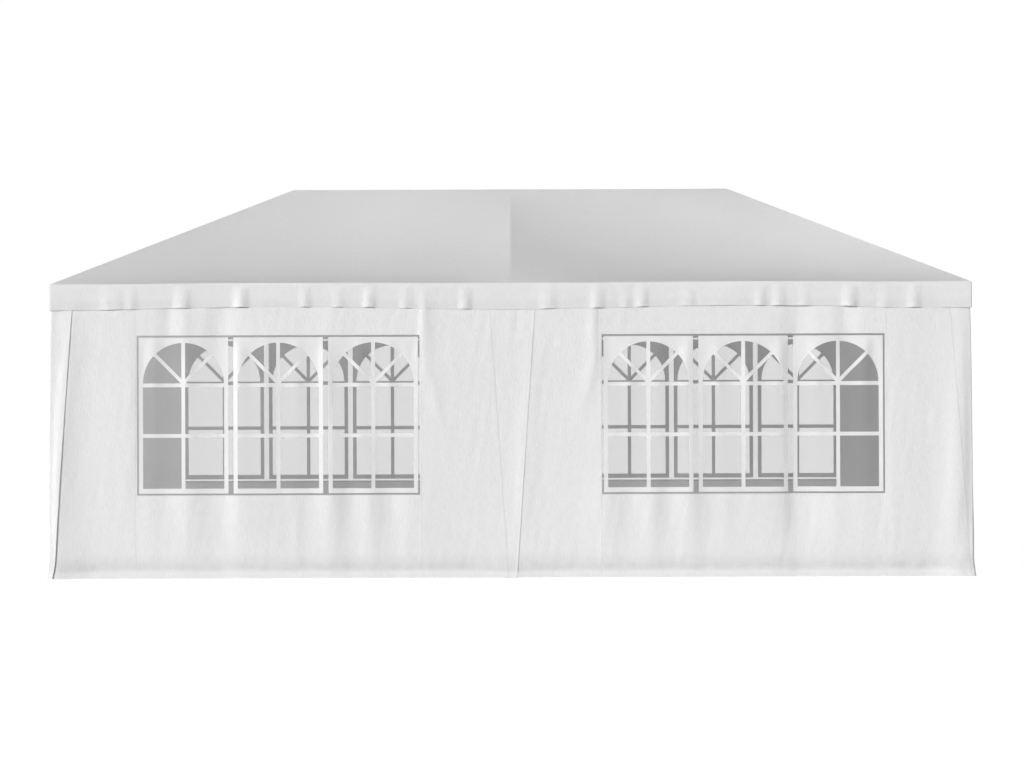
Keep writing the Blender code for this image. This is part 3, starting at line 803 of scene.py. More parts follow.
# %% Film
FILM = 0.0003
FILM_BEHIND = 0.0002
FILM_INSET = WALL_INSET + CLOTH + FILM_BEHIND
FILM_LAP = 0.012
PUCKERS = {
    "front": (
        -2.32, -2.10, -1.76, -1.59, -1.39, -1.20, -0.98, -0.79,
        0.77, 0.96, 1.15, 1.35, 1.55, 1.75, 1.99, 2.30,
    ),
    "back": (
        -2.25, -2.02, -1.81, -1.55, -1.37, -1.11, -0.94, -0.73,
        0.70, 0.93, 1.12, 1.40, 1.61, 1.78, 2.04, 2.21,
    ),
}
PUCKER_WIDTH = 0.045
PUCKER_HEIGHT = 0.011
PUCKER_LEVEL = 0.4
LOW_SHARE = 0.3
GROWS_FROM = 0.8
GROWS_OVER = 0.45
HELD_SIDE = 0.05
HELD_TOP = 0.13
HELD_BOTTOM = 0.12
side_edge = [WINDOW_WIDTH / 2 + FILM_LAP]
film_columns = np.concatenate([np.negative(side_edge), window_columns, side_edge])
film_rows = np.concatenate([[WINDOW_BOTTOM - FILM_LAP], window_rows, [WINDOW_TOP + FILM_LAP]])


def pucker(side, u, z):
    """Return how far the film stands out from the wall's folds: most in the upper half."""
    out = sum(np.exp(-(((u - at) / PUCKER_WIDTH) ** 2)) for at in PUCKERS[side])
    high = LOW_SHARE + (1 - LOW_SHARE) * ease((z - GROWS_FROM) / GROWS_OVER)
    to_side = WINDOW_WIDTH / 2 - np.abs(np.abs(u) - WINDOW_MIDDLE[side])
    edges = ease(to_side / HELD_SIDE)
    edges = edges * ease((WINDOW_TOP - z) / HELD_TOP) * ease((z - WINDOW_BOTTOM) / HELD_BOTTOM)
    return PUCKER_HEIGHT * (out - PUCKER_LEVEL) * high * edges


def window_film(side, half, name):
    """Hang the film of one window."""
    columns = film_columns + hand_of(side, half) * WINDOW_MIDDLE[side]
    proud = pucker(side, columns, film_rows[:, None])
    mesh = hung_grid(name, side, columns, film_rows, FILM_INSET, proud)
    return add_piece(name, thicken(mesh, FILM), film_finish, "window_film", f"window_{side}_{half}")


print("a film has", len(film_columns), "columns and", len(film_rows), "rows")

# %% [markdown]
# ## The printed window bars
# The print makes each film look like three arched windows. It is drawn flat first: the outline
# of a frame, with its eight panes as holes, as a filled 2D curve. Then it is cut along the
# wall's columns and rows, so that it can bend with the film it is printed on. Each of its
# points is laid on the film's own cell, half a millimetre in front of it.

# %% Panes of the print
FRAME_WIDTH = 0.582
FRAME_PITCH = 0.617
SIDE_BAR = 0.027
HALF_MULLION = 0.0125
DIAGONAL_BAR = 0.023
ARCH_FOOT = 1.271
ARCH_RADIUS = 0.263
BARS = ((0.586, 0.917), (0.942, 1.246))
PRINT_BOTTOM = WINDOW_BOTTOM + 0.012
PRINT_TOP = WINDOW_TOP - 0.013
ARC_POINTS = 16


def pane_outlines():
    """Return the outlines of the four panes on the right of a frame's middle bar."""
    side = FRAME_WIDTH / 2 - SIDE_BAR
    panes = [
        [(HALF_MULLION, low), (side, low), (side, high), (HALF_MULLION, high)] for low, high in BARS
    ]
    tip = DIAGONAL_BAR / 2 * math.sqrt(2)
    lean = math.asin(DIAGONAL_BAR / 2 / ARCH_RADIUS)
    stop = math.acos(HALF_MULLION / ARCH_RADIUS)
    for first, start, end in (
        ((tip, 0.0), 0.0, math.pi / 4 - lean),
        ((HALF_MULLION, HALF_MULLION + tip), math.pi / 4 + lean, stop),
    ):
        turns = [start + (end - start) * i / (ARC_POINTS - 1) for i in range(ARC_POINTS)]
        arc = [(ARCH_RADIUS * math.cos(a), ARCH_RADIUS * math.sin(a)) for a in turns]
        panes.append([(x, ARCH_FOOT + y) for x, y in [first, *arc]])
    return panes


print("panes of half a frame", len(pane_outlines()))

# %% Window print drawn flat
SAME = 1e-6
NEAR = 1e-5
FLAT_ANGLE = 1e-4


def frame_curve():
    """Return the three frames of a window as one filled curve."""
    curve = bpy.data.curves.new("print", "CURVE")
    curve.dimensions = "2D"
    curve.fill_mode = "BOTH"
    half = FRAME_WIDTH / 2
    outline = [(-half, PRINT_BOTTOM), (half, PRINT_BOTTOM), (half, PRINT_TOP), (-half, PRINT_TOP)]
    panes = pane_outlines()
    shapes = [outline, *panes, *[[(-x, z) for x, z in reversed(pane)] for pane in panes]]
    for shift in (-FRAME_PITCH, 0.0, FRAME_PITCH):
        for shape in shapes:
            spline = curve.splines.new("POLY")
            spline.points.add(len(shape) - 1)
            spline.use_cyclic_u = True
            for point, (x, z) in zip(spline.points, shape):
                point.co = (x + shift, z, 0, 1)
    return curve


def inside_a_cell(edge):
    """Say whether an edge crosses the inside of a cell and only splits it in triangles."""
    middle = (edge.verts[0].co + edge.verts[1].co) / 2
    off_column = np.abs(window_columns - middle.x).min() > NEAR
    off_row = np.abs(window_rows - middle.y).min() > NEAR
    return len(edge.link_faces) == 2 and off_column and off_row


def flat_print():
    """Return the print of a window as a flat mesh in u and z, cut along the grid."""
    holder = bpy.data.objects.new("print", frame_curve())
    bm = bmesh.new()
    bm.from_mesh(bpy.data.meshes.new_from_object(holder))
    bpy.data.objects.remove(holder)
    bmesh.ops.remove_doubles(bm, verts=bm.verts, dist=SAME)
    cuts = [((u, 0, 0), (1, 0, 0)) for u in window_columns[1:-1]]
    cuts += [((0, z, 0), (0, 1, 0)) for z in window_rows[1:-1]]
    for place, way in cuts:
        geometry = bm.verts[:] + bm.edges[:] + bm.faces[:]
        bmesh.ops.bisect_plane(bm, geom=geometry, plane_co=place, plane_no=way)
    spare = [edge for edge in bm.edges if inside_a_cell(edge)]
    bmesh.ops.dissolve_limit(bm, angle_limit=FLAT_ANGLE, verts=[], edges=spare)
    bmesh.ops.recalc_face_normals(bm, faces=bm.faces)
    return bm


print_flat = flat_print()
print("print", len(print_flat.faces), "faces")

# %% Window print hung on the film
PRINT = 0.0001
PRINT_PROUD = 0.0005
PRINT_INSET = FILM_INSET - PRINT - PRINT_PROUD


def share_of(line, at):
    """Return the cells of a line that hold some places, and how far along its cell each lies."""
    i = np.clip(np.searchsorted(line, at) - 1, 0, len(line) - 2)
    return i, ((at - line[i]) / (line[i + 1] - line[i]))[:, None]


def on_film(side, u, z):
    """Return the places of the print's points on the film's own cells, so that none sinks in."""
    columns = window_columns + np.sign(u[0]) * WINDOW_MIDDLE[side]
    rows = window_rows[:, None]
    net = hang(side, columns, rows, PRINT_INSET, pucker(side, columns, rows))
    i, s = share_of(columns, u)
    j, t = share_of(window_rows, z)
    low = net[j, i] * (1 - s) + net[j, i + 1] * s
    high = net[j + 1, i] * (1 - s) + net[j + 1, i + 1] * s
    return low * (1 - t) + high * t


def window_print(side, half, name):
    """Bend the flat print over one window."""
    middle = hand_of(side, half) * WINDOW_MIDDLE[side]
    bm = print_flat.copy()
    flat = np.array([v.co[:2] for v in bm.verts])
    places = on_film(side, middle + flat[:, 0], flat[:, 1])
    chart = bm.loops.layers.uv.new("UVMap")
    for face in bm.faces:
        for loop in face.loops:
            loop[chart].uv = (middle + loop.vert.co.x, loop.vert.co.y)
    for vert, place in zip(bm.verts, places):
        vert.co = place
    bm.normal_update()
    outward = Vector(on_side(side, 0.0, 1.0, 0.0))
    if sum((face.normal.dot(outward) * face.calc_area() for face in bm.faces)) < 0:
        bmesh.ops.reverse_faces(bm, faces=bm.faces)
    mesh = bpy.data.meshes.new(name)
    bm.to_mesh(mesh)
    bm.free()
    return add_piece(name, thicken(mesh, PRINT), print_finish, "wall_fabric")


for side, half in LONG_WALLS:
    film = window_film(side, half, f"film_{side}_{half}")
    bars = window_print(side, half, f"print_{side}_{half}")
print_flat.free()

# %% [markdown]
# ## The ends with their zipped doors
# The ends are plain walls with a doorway. The door is a flap of the same cloth between two
# zips, and its top is sewn to the wall, so that it can be rolled up and tied. It hangs in line
# with the wall, and a zip lies over the joint on either side: a flat tape with a raised coil.

# %% Ends
END_TO = HALF_WIDTH - WALL_INSET - CORNER_GAP
end_rows = line_of(LOW_ROWS, stations([LOW_ROWS[-1], DOOR_TOP, WALL_TOP], ROW_STEP))
end_columns = line_of(
    stations([-END_TO, -END_TO + EDGE_ZONE], EDGE_STEP),
    stations([-END_TO + EDGE_ZONE, -DOOR_HALF, DOOR_HALF, END_TO - EDGE_ZONE], STEP),
    stations([END_TO - EDGE_ZONE, END_TO], EDGE_STEP),
)


def end_wall(side, name):
    """Hang the wall of an end, with its doorway left open."""
    in_door = np.abs(cell_middles(end_columns)) < DOOR_HALF
    below = cell_middles(end_rows) < DOOR_TOP
    keep = ~(below[:, None] & in_door[None, :])
    z = end_rows[:, None]
    mesh = hung_grid(name, side, end_columns, end_rows, WALL_INSET, hem_step(z), hem_mark(z), keep)
    piece = wall_piece(name, mesh, f"wall_{side}")


print("an end has", len(end_columns), "columns and", len(end_rows), "rows")

# %% [markdown]
# A zip is wider than the joint it closes. Its tape lies flat and is sewn along both edges, and its
# coil is a rounded ridge in the middle. A plain ridge is enough here, because single teeth would
# never be seen from where a tent is looked at.

# %% Doors and zips
DOOR_GAP = 0.0005
ZIP_HALF = 0.014
ZIP_STITCHES = 0.008
ZIP_LIFT = 0.0010
ZIP_TAPE = 0.0007
COIL_HALF = 0.003
COIL_HEIGHT = 0.0022
half_zip = np.array([0.0, COIL_HALF / 2, COIL_HALF, ZIP_STITCHES, ZIP_HALF])
zip_columns = np.concatenate([-half_zip[:0:-1], half_zip])
door_columns = stations([-DOOR_HALF + DOOR_GAP, DOOR_HALF - DOOR_GAP], STEP)
door_rows = end_rows[end_rows <= DOOR_TOP + SAME]


def zip_line(side, at, name):
    """Lay a zip over the joint of door and wall: a flat tape with a raised coil."""
    coil = COIL_HEIGHT * np.clip(1 - (zip_columns / COIL_HALF) ** 2, 0, 1)
    proud = hem_step(door_rows[:, None]) + ZIP_LIFT + coil
    mark = (np.abs(zip_columns) == ZIP_STITCHES) * 1.0
    mesh = hung_grid(name, side, at + zip_columns, door_rows, WALL_INSET, proud, mark)
    return add_piece(name, thicken(mesh, ZIP_TAPE), wall_cloth, "wall_fabric")


def end_door(side, name):
    """Hang the zipped flap of an end."""
    z = door_rows[:, None]
    mesh = hung_grid(name, side, door_columns, door_rows, WALL_INSET, hem_step(z), hem_mark(z))
    piece = wall_piece(name, mesh, f"door_{side}")
    joints = (("a", -DOOR_HALF), ("b", DOOR_HALF))
    zips = [zip_line(side, at, f"zip_{side}_{word}") for word, at in joints]


for side in ("left", "right"):
    end_wall(side, f"cloth_wall_{side}")
    end_door(side, f"cloth_door_{side}")
print("end walls and doors hung")

# %% [markdown]
# ## The leg covers
# A strip of cloth runs down over each leg and hides the edges of the walls. It narrows from a
# forearm's width at the valance to a thumb's length at the ground. Its cut edges lift a little
# from the wall, and that small step is what draws the thin dark lines down the tent. The covers
# were sewn and hung by hand, so one is wider at its foot and the middle ones hang off centre.

# %% Width and edge of a cover
COVER_AT_TOP = 0.160
COVER_AT_FOOT = {
    "front_left": 0.045,
    "front_middle": 0.030,
    "front_right": 0.030,
    "back_right": 0.034,
    "back_middle": 0.030,
    "back_left": 0.030,
}
EDGE_PLACES = np.array([0.014, 0.0075, 0.0065, 0.003, 0.0])
INNER_COLUMNS = 8
COVER_HEM = 0.007
COVER_HEM_MARK = 0.4
COVER_HEM_STEP = 0.0003
LIFT_REACH = 0.05
LIFT_CURVE = 1.5
LEAST_LIFT = 0.5
LIFT_BELOW = 1.2
LIFT_FREE = 0.08
cover_rows = line_of(LOW_ROWS, stations([LOW_ROWS[-1], WALL_TOP], ROW_STEP))


def half_cover(place, z):
    """Return half the width of a leg cover at a height."""
    foot = COVER_AT_FOOT[place]
    return foot + (COVER_AT_TOP - foot) * (z - GROUND) / (WALL_TOP - GROUND)


def cover_line(half):
    """Return places from the middle of a cover to its edge, with close ones at its hem."""
    inner = np.linspace(0, 1, INNER_COLUMNS + 1)[:-1] * (half - EDGE_PLACES[0])
    return np.concatenate([inner, half - EDGE_PLACES])


def side_hem(distance):
    """Return the mark and the step of a cover's hem by the distance from its edge."""
    inside = distance < COVER_HEM
    return inside * COVER_HEM_MARK, inside * COVER_HEM_STEP


def lift(distance, z):
    """Return how much a cover's edge lifts: more near the ground, none at the valance."""
    near_edge = np.clip(1 - distance / LIFT_REACH, 0, 1) ** LIFT_CURVE
    low = LEAST_LIFT + ease((LIFT_BELOW - z) / LIFT_BELOW)
    return near_edge * low * ease((HEM_OF_VALANCE - z) / LIFT_FREE)


def hang_cover(place, mesh):
    """Show a leg cover as a piece of wall cloth in place of its CAD node."""
    piece = wall_piece(mesh.name, mesh, f"leg_cover_{place}")


print("half widths at the ground", COVER_AT_FOOT)

# %% [markdown]
# The cover of a middle leg lies flat over the edges of two walls. Each of its rows is as wide as
# the strip is at that height, and its columns lie closest at the hem, which is a step in the cloth.

# %% Covers of the middle legs
MIDDLE_SHIFT = {"front": 0.009, "back": -0.004}
MIDDLE_INSET = 0.0131
MIDDLE_LIFT = 0.0015


def middle_cover(side, name):
    """Return the strip over a middle leg."""
    half = half_cover(f"{side}_middle", cover_rows)
    right = np.array([cover_line(reach) for reach in half])
    grid_u = np.concatenate([-right[:, :0:-1], right], axis=1)
    grid_z = np.broadcast_to(cover_rows[:, None], grid_u.shape)
    mark, step = side_hem(half[:, None] - np.abs(grid_u))
    proud = MIDDLE_LIFT * lift(half[:, None] - grid_u, grid_z) + hem_step(grid_z) + step
    points = hang(side, grid_u + MIDDLE_SHIFT[side], grid_z, MIDDLE_INSET, proud)
    return grid_mesh(name, points, np.stack([grid_u, grid_z], -1), np.maximum(hem_mark(grid_z), mark))


for side in LONG_SIDES:
    mesh = middle_cover(side, f"strip_{side}_middle")
    hang_cover(f"{side}_middle", mesh)
print("middle leg covers hung")

# %% [markdown]
# A corner cover is one strip too, but it folds round the corner. Its rows run along one side,
# over a small round and along the next side, so the fold has no seam. Only the edge on the
# second side lifts, and where the strip is narrow its columns are simply spread evenly.

# %% Covers of the corner legs
CORNERS = {
    "front_left": ("left", "front"),
    "front_right": ("front", "right"),
    "back_right": ("right", "back"),
    "back_left": ("back", "left"),
}
CORNER_ROUND = 0.007
ROUND_COLUMNS = 7
CORNER_LIFT = 0.0047
NARROW = 0.04


def round_corner(distance):
    """Return how far along and how far in a point lies, by its distance from the corner."""
    angle = np.clip(1 - distance / CORNER_ROUND, 0, 1) * math.pi / 4
    along = np.where(distance < CORNER_ROUND, CORNER_ROUND * (1 - np.sin(angle)), distance)
    return along, CORNER_ROUND * (1 - np.cos(angle))


def corner_line(reach):
    """Return places from a corner to the edge of its cover, with close ones round the corner."""
    rounded = np.linspace(0, CORNER_ROUND, ROUND_COLUMNS)
    if reach > NARROW:
        outer = CORNER_ROUND + cover_line(reach - CORNER_ROUND)
    else:
        outer = np.linspace(CORNER_ROUND, reach, INNER_COLUMNS + len(EDGE_PLACES))
    return np.concatenate([rounded, outer[1:]])


def corner_cover(corner, name):
    """Return the strip over a corner leg: it folds round from one side to the next."""
    before, after = CORNERS[corner]
    parts, charts, marks = [], [], []
    for z in cover_rows:
        reach = half_cover(corner, z) - COVER_INSET
        distance = corner_line(reach)
        mark, step = side_hem(reach - distance)
        along, inward = round_corner(distance)
        proud = hem_step(z) + step - inward
        lifted = proud + CORNER_LIFT * lift(reach - distance, z)
        near = hang(before, ALONG[before] - COVER_INSET - along, z, COVER_INSET, proud)
        far = hang(after, COVER_INSET + along - ALONG[after], z, COVER_INSET, lifted)
        parts.append(np.concatenate([near[::-1], far[1:]]))
        charts.append([(d, z) for d in np.concatenate([-distance[::-1], distance[1:]])])
        marks.append(np.maximum(np.concatenate([mark[::-1], mark[1:]]), hem_mark(z)))
    return grid_mesh(name, np.array(parts), np.array(charts), np.array(marks))


for corner in CORNERS:
    mesh = corner_cover(corner, f"strip_{corner}")
    hang_cover(corner, mesh)
print("corner leg covers hung")

# %% [markdown]
# ## The roof cover and its valance
# The cover is one skin: two long slopes, two hipped ends and the valance, sewn together. It
# rests on the ridge, the hips, the middle rafters and the eave rails, and sags between them.
# A grid of rings suits this shape: each ring runs once round the roof, from the ridge, where
# it is flat as a line, down to the hem. The hips are then clean lines of points.

# %% Roof columns and sag
ROOF_STEP = 0.017
CORNER_STEPS = [0.0, 0.003, 0.007, 0.012]
PITCH = math.tan(SLOPE)
SAG = 0.088
SAG_SCALE = 5.4
SAG_CURVE = 1.5
SAG_SHARPNESS = 0.95
SMALLEST = 1e-6


def side_columns(half):
    """Return the columns of a side at the eave, with close ones at the corners."""
    ends = half - np.array(CORNER_STEPS)
    return line_of(-ends, stations([-ends[-1], 0.0, ends[-1]], ROOF_STEP), ends)


def ring_size(side, t):
    """Return half the length of a ring's side and its distance from the tent's middle."""
    short = HALF_WIDTH * t
    long = HALF_RIDGE + HALF_WIDTH * t
    return (long, short) if side in LONG_SIDES else (short, long)


def soft_tent(share):
    """Return 0 at both supports and 1 in the middle, with a crisp rise from the supports."""
    return np.clip(4 * share * (1 - share), 0, 1) ** SAG_SHARPNESS


def sag(side, u, t):
    """Return how far the roof hangs down between its tubes. t runs from the ridge to the eave."""
    half = np.maximum(ring_size(side, t)[0], SMALLEST)
    if side in LONG_SIDES:
        across = soft_tent(np.clip(1 - np.abs(u) / half, 0, 1))
    else:
        across = soft_tent(np.clip((u / half + 1) / 2, 0, 1))
    return SAG * across * (SAG_SCALE * t**SAG_CURVE * (1 - t))


print("columns of a long side", len(side_columns(HALF_LENGTH)))

# %% [markdown]
# ## The buckles of the valance
# The valance is only held along the eave, so its free hem keeps every buckle of the sewing.
# Like the folds of the walls, the buckles are ridges with a place, a width and a height, and
# they grow from nothing at the eave to their full height at the hem. The valance also leans
# in a little against the walls, and its hem hangs lower at the legs than between them.

# %% Buckles of the valance
# Each buckle: its place, its width and how far it stands out.
BUCKLES = {
    "front": [
        (-2.59, 0.070, 0.0045), (-2.468, 0.032, 0.0030), (-2.135, 0.046, 0.0050), (-1.752, 0.036, 0.0070),
        (-1.336, 0.030, 0.0040), (-1.12, 0.032, 0.0030), (-0.920, 0.034, 0.0060), (-0.68, 0.032, 0.0030),
        (-0.295, 0.032, 0.0050), (0.245, 0.046, 0.0040), (0.57, 0.034, 0.0050), (0.75, 0.027, 0.0020),
        (0.855, 0.033, 0.0045), (1.155, 0.036, 0.0025), (1.37, 0.140, 0.0020), (1.625, 0.032, 0.0045),
        (1.745, 0.034, 0.0045), (1.91, 0.027, 0.0025), (2.205, 0.040, 0.0065), (2.44, 0.036, 0.0025),
        (2.625, 0.034, 0.0050),
    ],
    "back": [
        (-2.70, 0.05, 0.006), (-2.31, 0.04, 0.005), (-1.98, 0.06, 0.007), (-1.62, 0.03, 0.004),
        (-1.28, 0.05, 0.006), (-0.91, 0.04, 0.005), (-0.55, 0.06, 0.006), (-0.18, 0.04, 0.004),
        (0.31, 0.05, 0.006), (0.66, 0.03, 0.005), (1.04, 0.06, 0.007), (1.41, 0.04, 0.005),
        (1.77, 0.03, 0.004), (2.08, 0.06, 0.006), (2.43, 0.04, 0.006), (2.75, 0.05, 0.005),
    ],
    "left": [
        (-1.21, 0.05, 0.006), (-0.88, 0.04, 0.005), (-0.49, 0.06, 0.007), (-0.11, 0.04, 0.005),
        (0.27, 0.05, 0.006), (0.61, 0.03, 0.004), (0.94, 0.06, 0.006), (1.26, 0.04, 0.005),
    ],
    "right": [
        (-1.26, 0.04, 0.005), (-0.90, 0.06, 0.007), (-0.58, 0.03, 0.005), (-0.19, 0.05, 0.006),
        (0.15, 0.04, 0.004), (0.52, 0.06, 0.007), (0.86, 0.04, 0.005), (1.20, 0.05, 0.006),
    ],
}
BUCKLE_GROWTH = 2.8
BUCKLE_CALM = 0.10


def calm(side, u, over):
    """Return 0 at the corners of a side, and 1 from some distance inward."""
    return ease((ALONG[side] - np.abs(u)) / over)


def buckles(side, u):
    """Return how far each place of the hem stands out."""
    out = np.zeros(np.shape(u))
    for at, width, height in BUCKLES[side]:
        across = (u - at) / width
        out = out + BUCKLE_GROWTH * height * np.exp(-(np.abs(across) ** 3))
    return out * calm(side, u, BUCKLE_CALM)


print("buckles", {side: len(found) for side, found in BUCKLES.items()})

# %% Drop of the valance
EARLY_SHARE = 0.30
EARLY_DROP = 0.22
LATE_CURVE = 1.6
FINE_TURNS = 1.3
FINE_SHARE = 0.5
LEAN_IN = 0.0112
LEAN_AT_STRIP = 0.0088
LEAN_BLUR = 0.05
REST_CALM = 0.28
HEM_TURNS = 0.12
HEM_CALM = 0.15
HEM_WAVE = 0.0015
BAY = 3.0
BAY_WAVE = 0.010
BUCKLE_LIFT = 0.15


def small_waves(side, u, turns):
    """Return the sum of a side's small waves, drawn out or pushed together."""
    return sum(np.sin(2 * math.pi * (turns * along * u + start)) for along, _, start in WAVES[side])


def buckle(side, u, drop):
    """Return how far the valance stands out. drop runs from the eave to the hem."""
    fine = FINE_SHARE * CRINKLE_HEIGHT * small_waves(side, u, FINE_TURNS) * calm(side, u, BUCKLE_CALM)
    to_leg = np.minimum(np.abs(u), ALONG[side] - np.abs(u))
    lean = LEAN_AT_STRIP + (LEAN_IN - LEAN_AT_STRIP) * ease((to_leg - COVER_AT_TOP) / LEAN_BLUR)
    rest = (np.clip(drape(side, u, HEM_OF_VALANCE), 0, 1) - lean) * calm(side, u, REST_CALM)
    growth = EARLY_SHARE * ease(drop / EARLY_DROP) + (1 - EARLY_SHARE) * drop**LATE_CURVE
    return buckles(side, u) * growth + (rest + fine) * drop


def hem_wave(side, u):
    """Return how far the hem rises: in the middle of each bay and under each buckle."""
    small = HEM_WAVE * small_waves(side, u, HEM_TURNS) / math.sqrt(CRINKLES) * calm(side, u, HEM_CALM)
    bay = -BAY_WAVE * np.cos(2 * math.pi * (ALONG[side] - np.abs(u)) / BAY)
    return small + bay + BUCKLE_LIFT * buckles(side, u)


print(f"the hem rises {hem_wave('front', np.array([1.5]))[0] * 1000:.0f} mm in the middle of a bay")

# %% [markdown]
# On the slopes a ring is the outline of the roof at one height. A few rings round off the fold
# at the eave, where the cloth bends over the rail. Below it the rings belong to the valance, and
# the last of them are its doubled hem.

# %% Rings of the cover
EAVE_ROUND = 0.012
EAVE_TURNS = 5
RIDGE_SHARES = [0.0, 0.006, 0.016]
FIRST_SHARE = 0.035
LAST_GAP = 0.012
ROOF_RINGS = 25
VALANCE_ROWS = [0.0, 0.05, 0.10, 0.16, 0.24, 0.36, 0.50, 0.64, 0.76, 0.85, 0.88, 0.94, 1.0]
HEM_SHARE = 0.86


def loop_of(points_of):
    """Join the four sides into one closed ring of points."""
    return np.concatenate([points_of(side)[:-1] for side in ("front", "right", "back", "left")])


def roof_ring(t):
    """Return the ring of the roof at a share of the way from the ridge to the eave."""
    def points_of(side):
        half, out = ring_size(side, t)
        u = side_columns(ALONG[side]) / ALONG[side] * half
        return on_side(side, u, out, RIDGE - PITCH * HALF_WIDTH * t - sag(side, u, t))
    return loop_of(points_of)


def edge_ring(inset, z_of, out_of):
    """Return a ring at the eave or below it, with rounded corners."""
    def points_of(side):
        u = side_columns(ALONG[side])
        distance = ALONG[side] - np.abs(u)
        along, inward = round_corner(distance)
        u_now = np.sign(u) * (ALONG[side] - inset - along)
        u_now = np.where(distance < CORNER_ROUND, u_now, u * (ALONG[side] - inset) / ALONG[side])
        out = OUT[side] - inset - inward + out_of(side, u)
        return on_side(side, u_now, out, z_of(side, u))
    return loop_of(points_of)


def cover_rings():
    """Return all the rings of the cover from the ridge to the hem."""
    last = 1 - EAVE_ROUND * (1 - math.sin(SLOPE)) / HALF_WIDTH
    slope_shares = stations([FIRST_SHARE, last - LAST_GAP], 1 / ROOF_RINGS)
    rings = [roof_ring(t) for t in np.concatenate([RIDGE_SHARES, slope_shares])]
    centre = EAVE + PITCH * EAVE_ROUND - EAVE_ROUND / math.cos(SLOPE)
    for turn in np.linspace(math.pi / 2 - SLOPE, 0, EAVE_TURNS):
        inset = EAVE_ROUND * (1 - math.cos(turn))
        z = centre + EAVE_ROUND * math.sin(turn)
        rings.append(edge_ring(inset, lambda side, u: np.full(len(u), z), lambda side, u: 0 * u))
    for drop in VALANCE_ROWS[1:]:
        def z_of(side, u, drop=drop):
            return centre + (HEM_OF_VALANCE - centre + hem_wave(side, u)) * drop
        def out_of(side, u, drop=drop):
            return buckle(side, u, drop) + HEM_STEP * (drop > HEM_SHARE)
        rings.append(edge_ring(0.0, z_of, out_of))
    return np.array(rings)


rings = cover_rings()
print("rings", len(rings), "with", len(rings[0]), "points each")

# %% [markdown]
# The rings are joined into one skin, and the line where the slopes meet is welded along the
# ridge. The map runs round the hem and down the slope in metres, which sets the size of the weave.

# %% Roof cover
VALANCE_MARK = 0.28
MARK_FROM = 0.5
MARK_OVER = 0.4


def cover_mesh(name, rings):
    """Return the cover as one closed ring of quads, welded along the ridge."""
    rings = np.concatenate([rings, rings[:, :1]], axis=1)
    step = np.linalg.norm(np.diff(rings, axis=0), axis=-1)
    down = np.concatenate([np.zeros((1, rings.shape[1])), np.cumsum(step, axis=0)])
    lengths = np.linalg.norm(np.diff(rings[-1], axis=0), axis=-1)
    around = np.broadcast_to(np.concatenate([[0], np.cumsum(lengths)]), down.shape)
    drops = np.array(VALANCE_ROWS[1:])
    mark = np.zeros(down.shape)
    mark[-len(drops):] = VALANCE_MARK * ease((drops - MARK_FROM) / MARK_OVER)[:, None]
    mesh = grid_mesh(name, rings[::-1], np.stack([around, -down], -1)[::-1], mark[::-1])
    bm = bmesh.new()
    bm.from_mesh(mesh)
    bmesh.ops.remove_doubles(bm, verts=bm.verts, dist=NEAR)
    bm.to_mesh(mesh)
    bm.free()
    return mesh


roof_mesh = thicken(cover_mesh("cloth_roof", rings), CLOTH)
roof = add_piece("cloth_roof", roof_mesh, roof_cloth, "roof_fabric", "roof_cover")

# %% [markdown]
# ## Studio
# A catalogue picture of a white tent stands on a white floor in front of nothing. The floor is
# nearly white and runs to the horizon, and both floor and backdrop look brighter to the camera
# than they shine on the tent. One broad, low light from the left of the camera draws the
# folds, a weak one from the right and an even white surround fill everything else. A softbox
# behind the tent lights the back wall, which shows through the left window.

# %% Floor and backdrop
WHITE = (1, 1, 1, 1)
FLOOR_GREY = (0.60, 0.60, 0.60, 1)
FLOOR_FAINT = (0.06, 0.06, 0.06, 1)
FLOOR_GLOW = 0.98
FLOOR_SIZE = 600
SURROUND = 0.25
BACKDROP = 1.02


def by_ray(tree, others, camera_ray):
    """Return a shader that looks one way to the camera and another way to all other rays."""
    path = put(tree, "LightPath")
    inputs = {0: path.outputs["Is Camera Ray"], 1: others.outputs[0], 2: camera_ray.outputs[0]}
    return put(tree, "MixShader", inputs).outputs[0]


def stage_material():
    """Return the pale floor, lifted to white where no shadow falls."""
    material, tree = blank_material("studio_floor")
    lit = put(tree, "BsdfDiffuse", {"Color": FLOOR_GREY})
    faint = put(tree, "BsdfDiffuse", {"Color": FLOOR_FAINT})
    glow = put(tree, "Emission", {"Color": WHITE, "Strength": FLOOR_GLOW})
    both = put(tree, "AddShader", {0: faint.outputs[0], 1: glow.outputs[0]})
    put(tree, "OutputMaterial", {"Surface": by_ray(tree, lit, both)})
    return material


bpy.ops.mesh.primitive_plane_add(size=FLOOR_SIZE)
floor = bpy.context.object
floor.name = "studio_floor"
floor.data.materials.append(stage_material())

world = bpy.data.worlds.new("studio")
bpy.context.scene.world = world
world.use_nodes = True
world.node_tree.nodes.clear()
surround = put(world.node_tree, "Background", {"Color": WHITE, "Strength": SURROUND})
backdrop = put(world.node_tree, "Background", {"Color": WHITE, "Strength": BACKDROP})
put(world.node_tree, "OutputWorld", {"Surface": by_ray(world.node_tree, surround, backdrop)})
print("floor and world", floor.name, world.name)

# %% [markdown]
# A sun is a light from far away, and its spread says how soft its shadows are. It is turned so
# that it shines from a compass direction and a height, both in degrees.

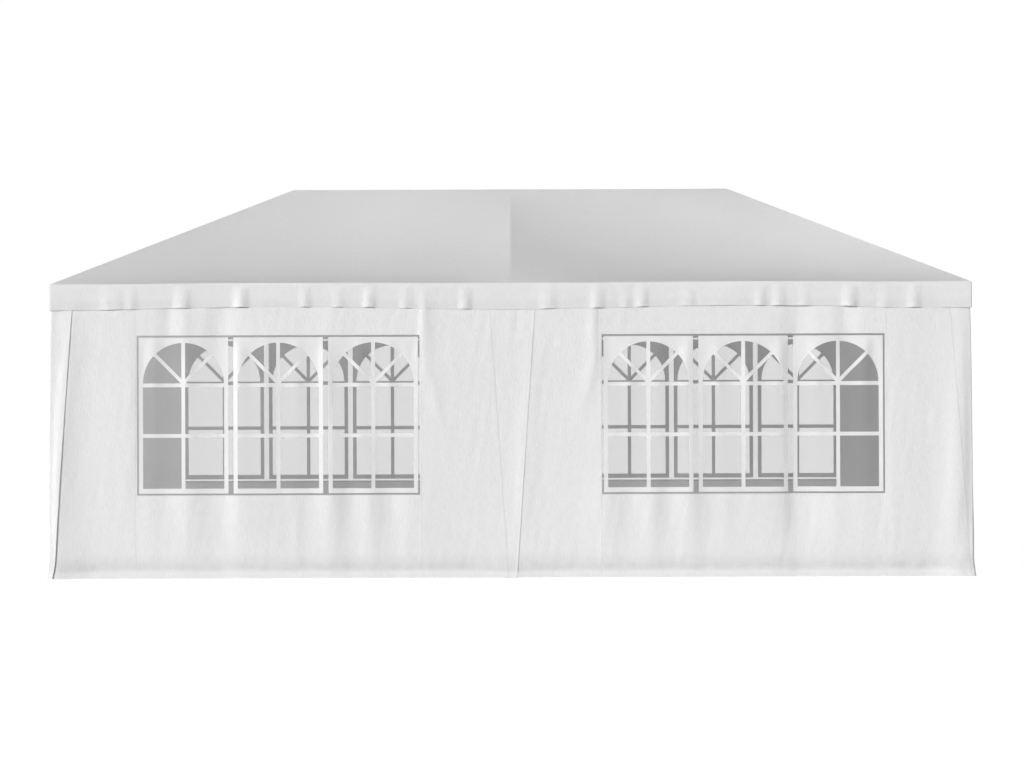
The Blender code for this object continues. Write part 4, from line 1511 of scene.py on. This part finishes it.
# %% Lights
def add_light(name, kind, towards, energy, **settings):
    """Add a light that comes from a direction."""
    lamp = bpy.data.lights.new(name, kind)
    lamp.energy = energy
    for setting, value in settings.items():
        setattr(lamp, setting, value)
    holder = bpy.data.objects.new(name, lamp)
    holder.rotation_euler = towards.to_track_quat("Z", "Y").to_euler()
    bpy.context.scene.collection.objects.link(holder)
    return holder


def add_sun(name, azimuth, elevation, energy, spread):
    """Add a broad far light. Azimuth 0 comes from the camera, and negative from its left."""
    a = math.radians(azimuth)
    e = math.radians(elevation)
    towards = Vector((math.sin(a) * math.cos(e), -math.cos(a) * math.cos(e), math.sin(e)))
    return add_light(name, "SUN", towards, energy, angle=math.radians(spread))


def add_softbox(name, place, target, size, energy):
    """Add a soft light that stands near the tent and isn't seen itself."""
    holder = add_light(name, "AREA", Vector(place) - Vector(target), energy, size=size)
    holder.location = place
    holder.visible_camera = False
    return holder


add_sun("key_light", azimuth=-46, elevation=16.8, energy=4.17, spread=14)
add_sun("fill_light", azimuth=80, elevation=5, energy=0.85, spread=60)
add_softbox("back_light", place=(-5.0, 4.5, 1.6), target=(-2.2, 1.5, 1.1), size=3.0, energy=80)
print("lights", [light.name for light in bpy.data.lights])

# %% [markdown]
# A long lens from far away keeps the front and the back of the tent nearly the same size. Its
# place, its slight tilt and its slight roll were set until the edges of the tent lay right.

# %% Camera
LENS = 124.4
SENSOR = 36
CAMERA_PLACE = (0.0083, -24.5, 1.36)
TILT = math.radians(90 - 0.25)
ROLL = math.radians(-0.2)
camera_data = bpy.data.cameras.new("camera")
camera_data.lens = LENS
camera_data.sensor_width = SENSOR
camera = bpy.data.objects.new("camera", camera_data)
bpy.context.scene.collection.objects.link(camera)
camera.location = CAMERA_PLACE
camera.rotation_euler = (TILT, 0.0, 0.0)
rolled = camera.rotation_euler.to_matrix() @ Matrix.Rotation(ROLL, 3, "Z")
camera.rotation_euler = rolled.to_euler()
bpy.context.scene.camera = camera
bpy.context.scene.view_settings.view_transform = "Standard"
print("camera", CAMERA_PLACE, "lens", LENS)
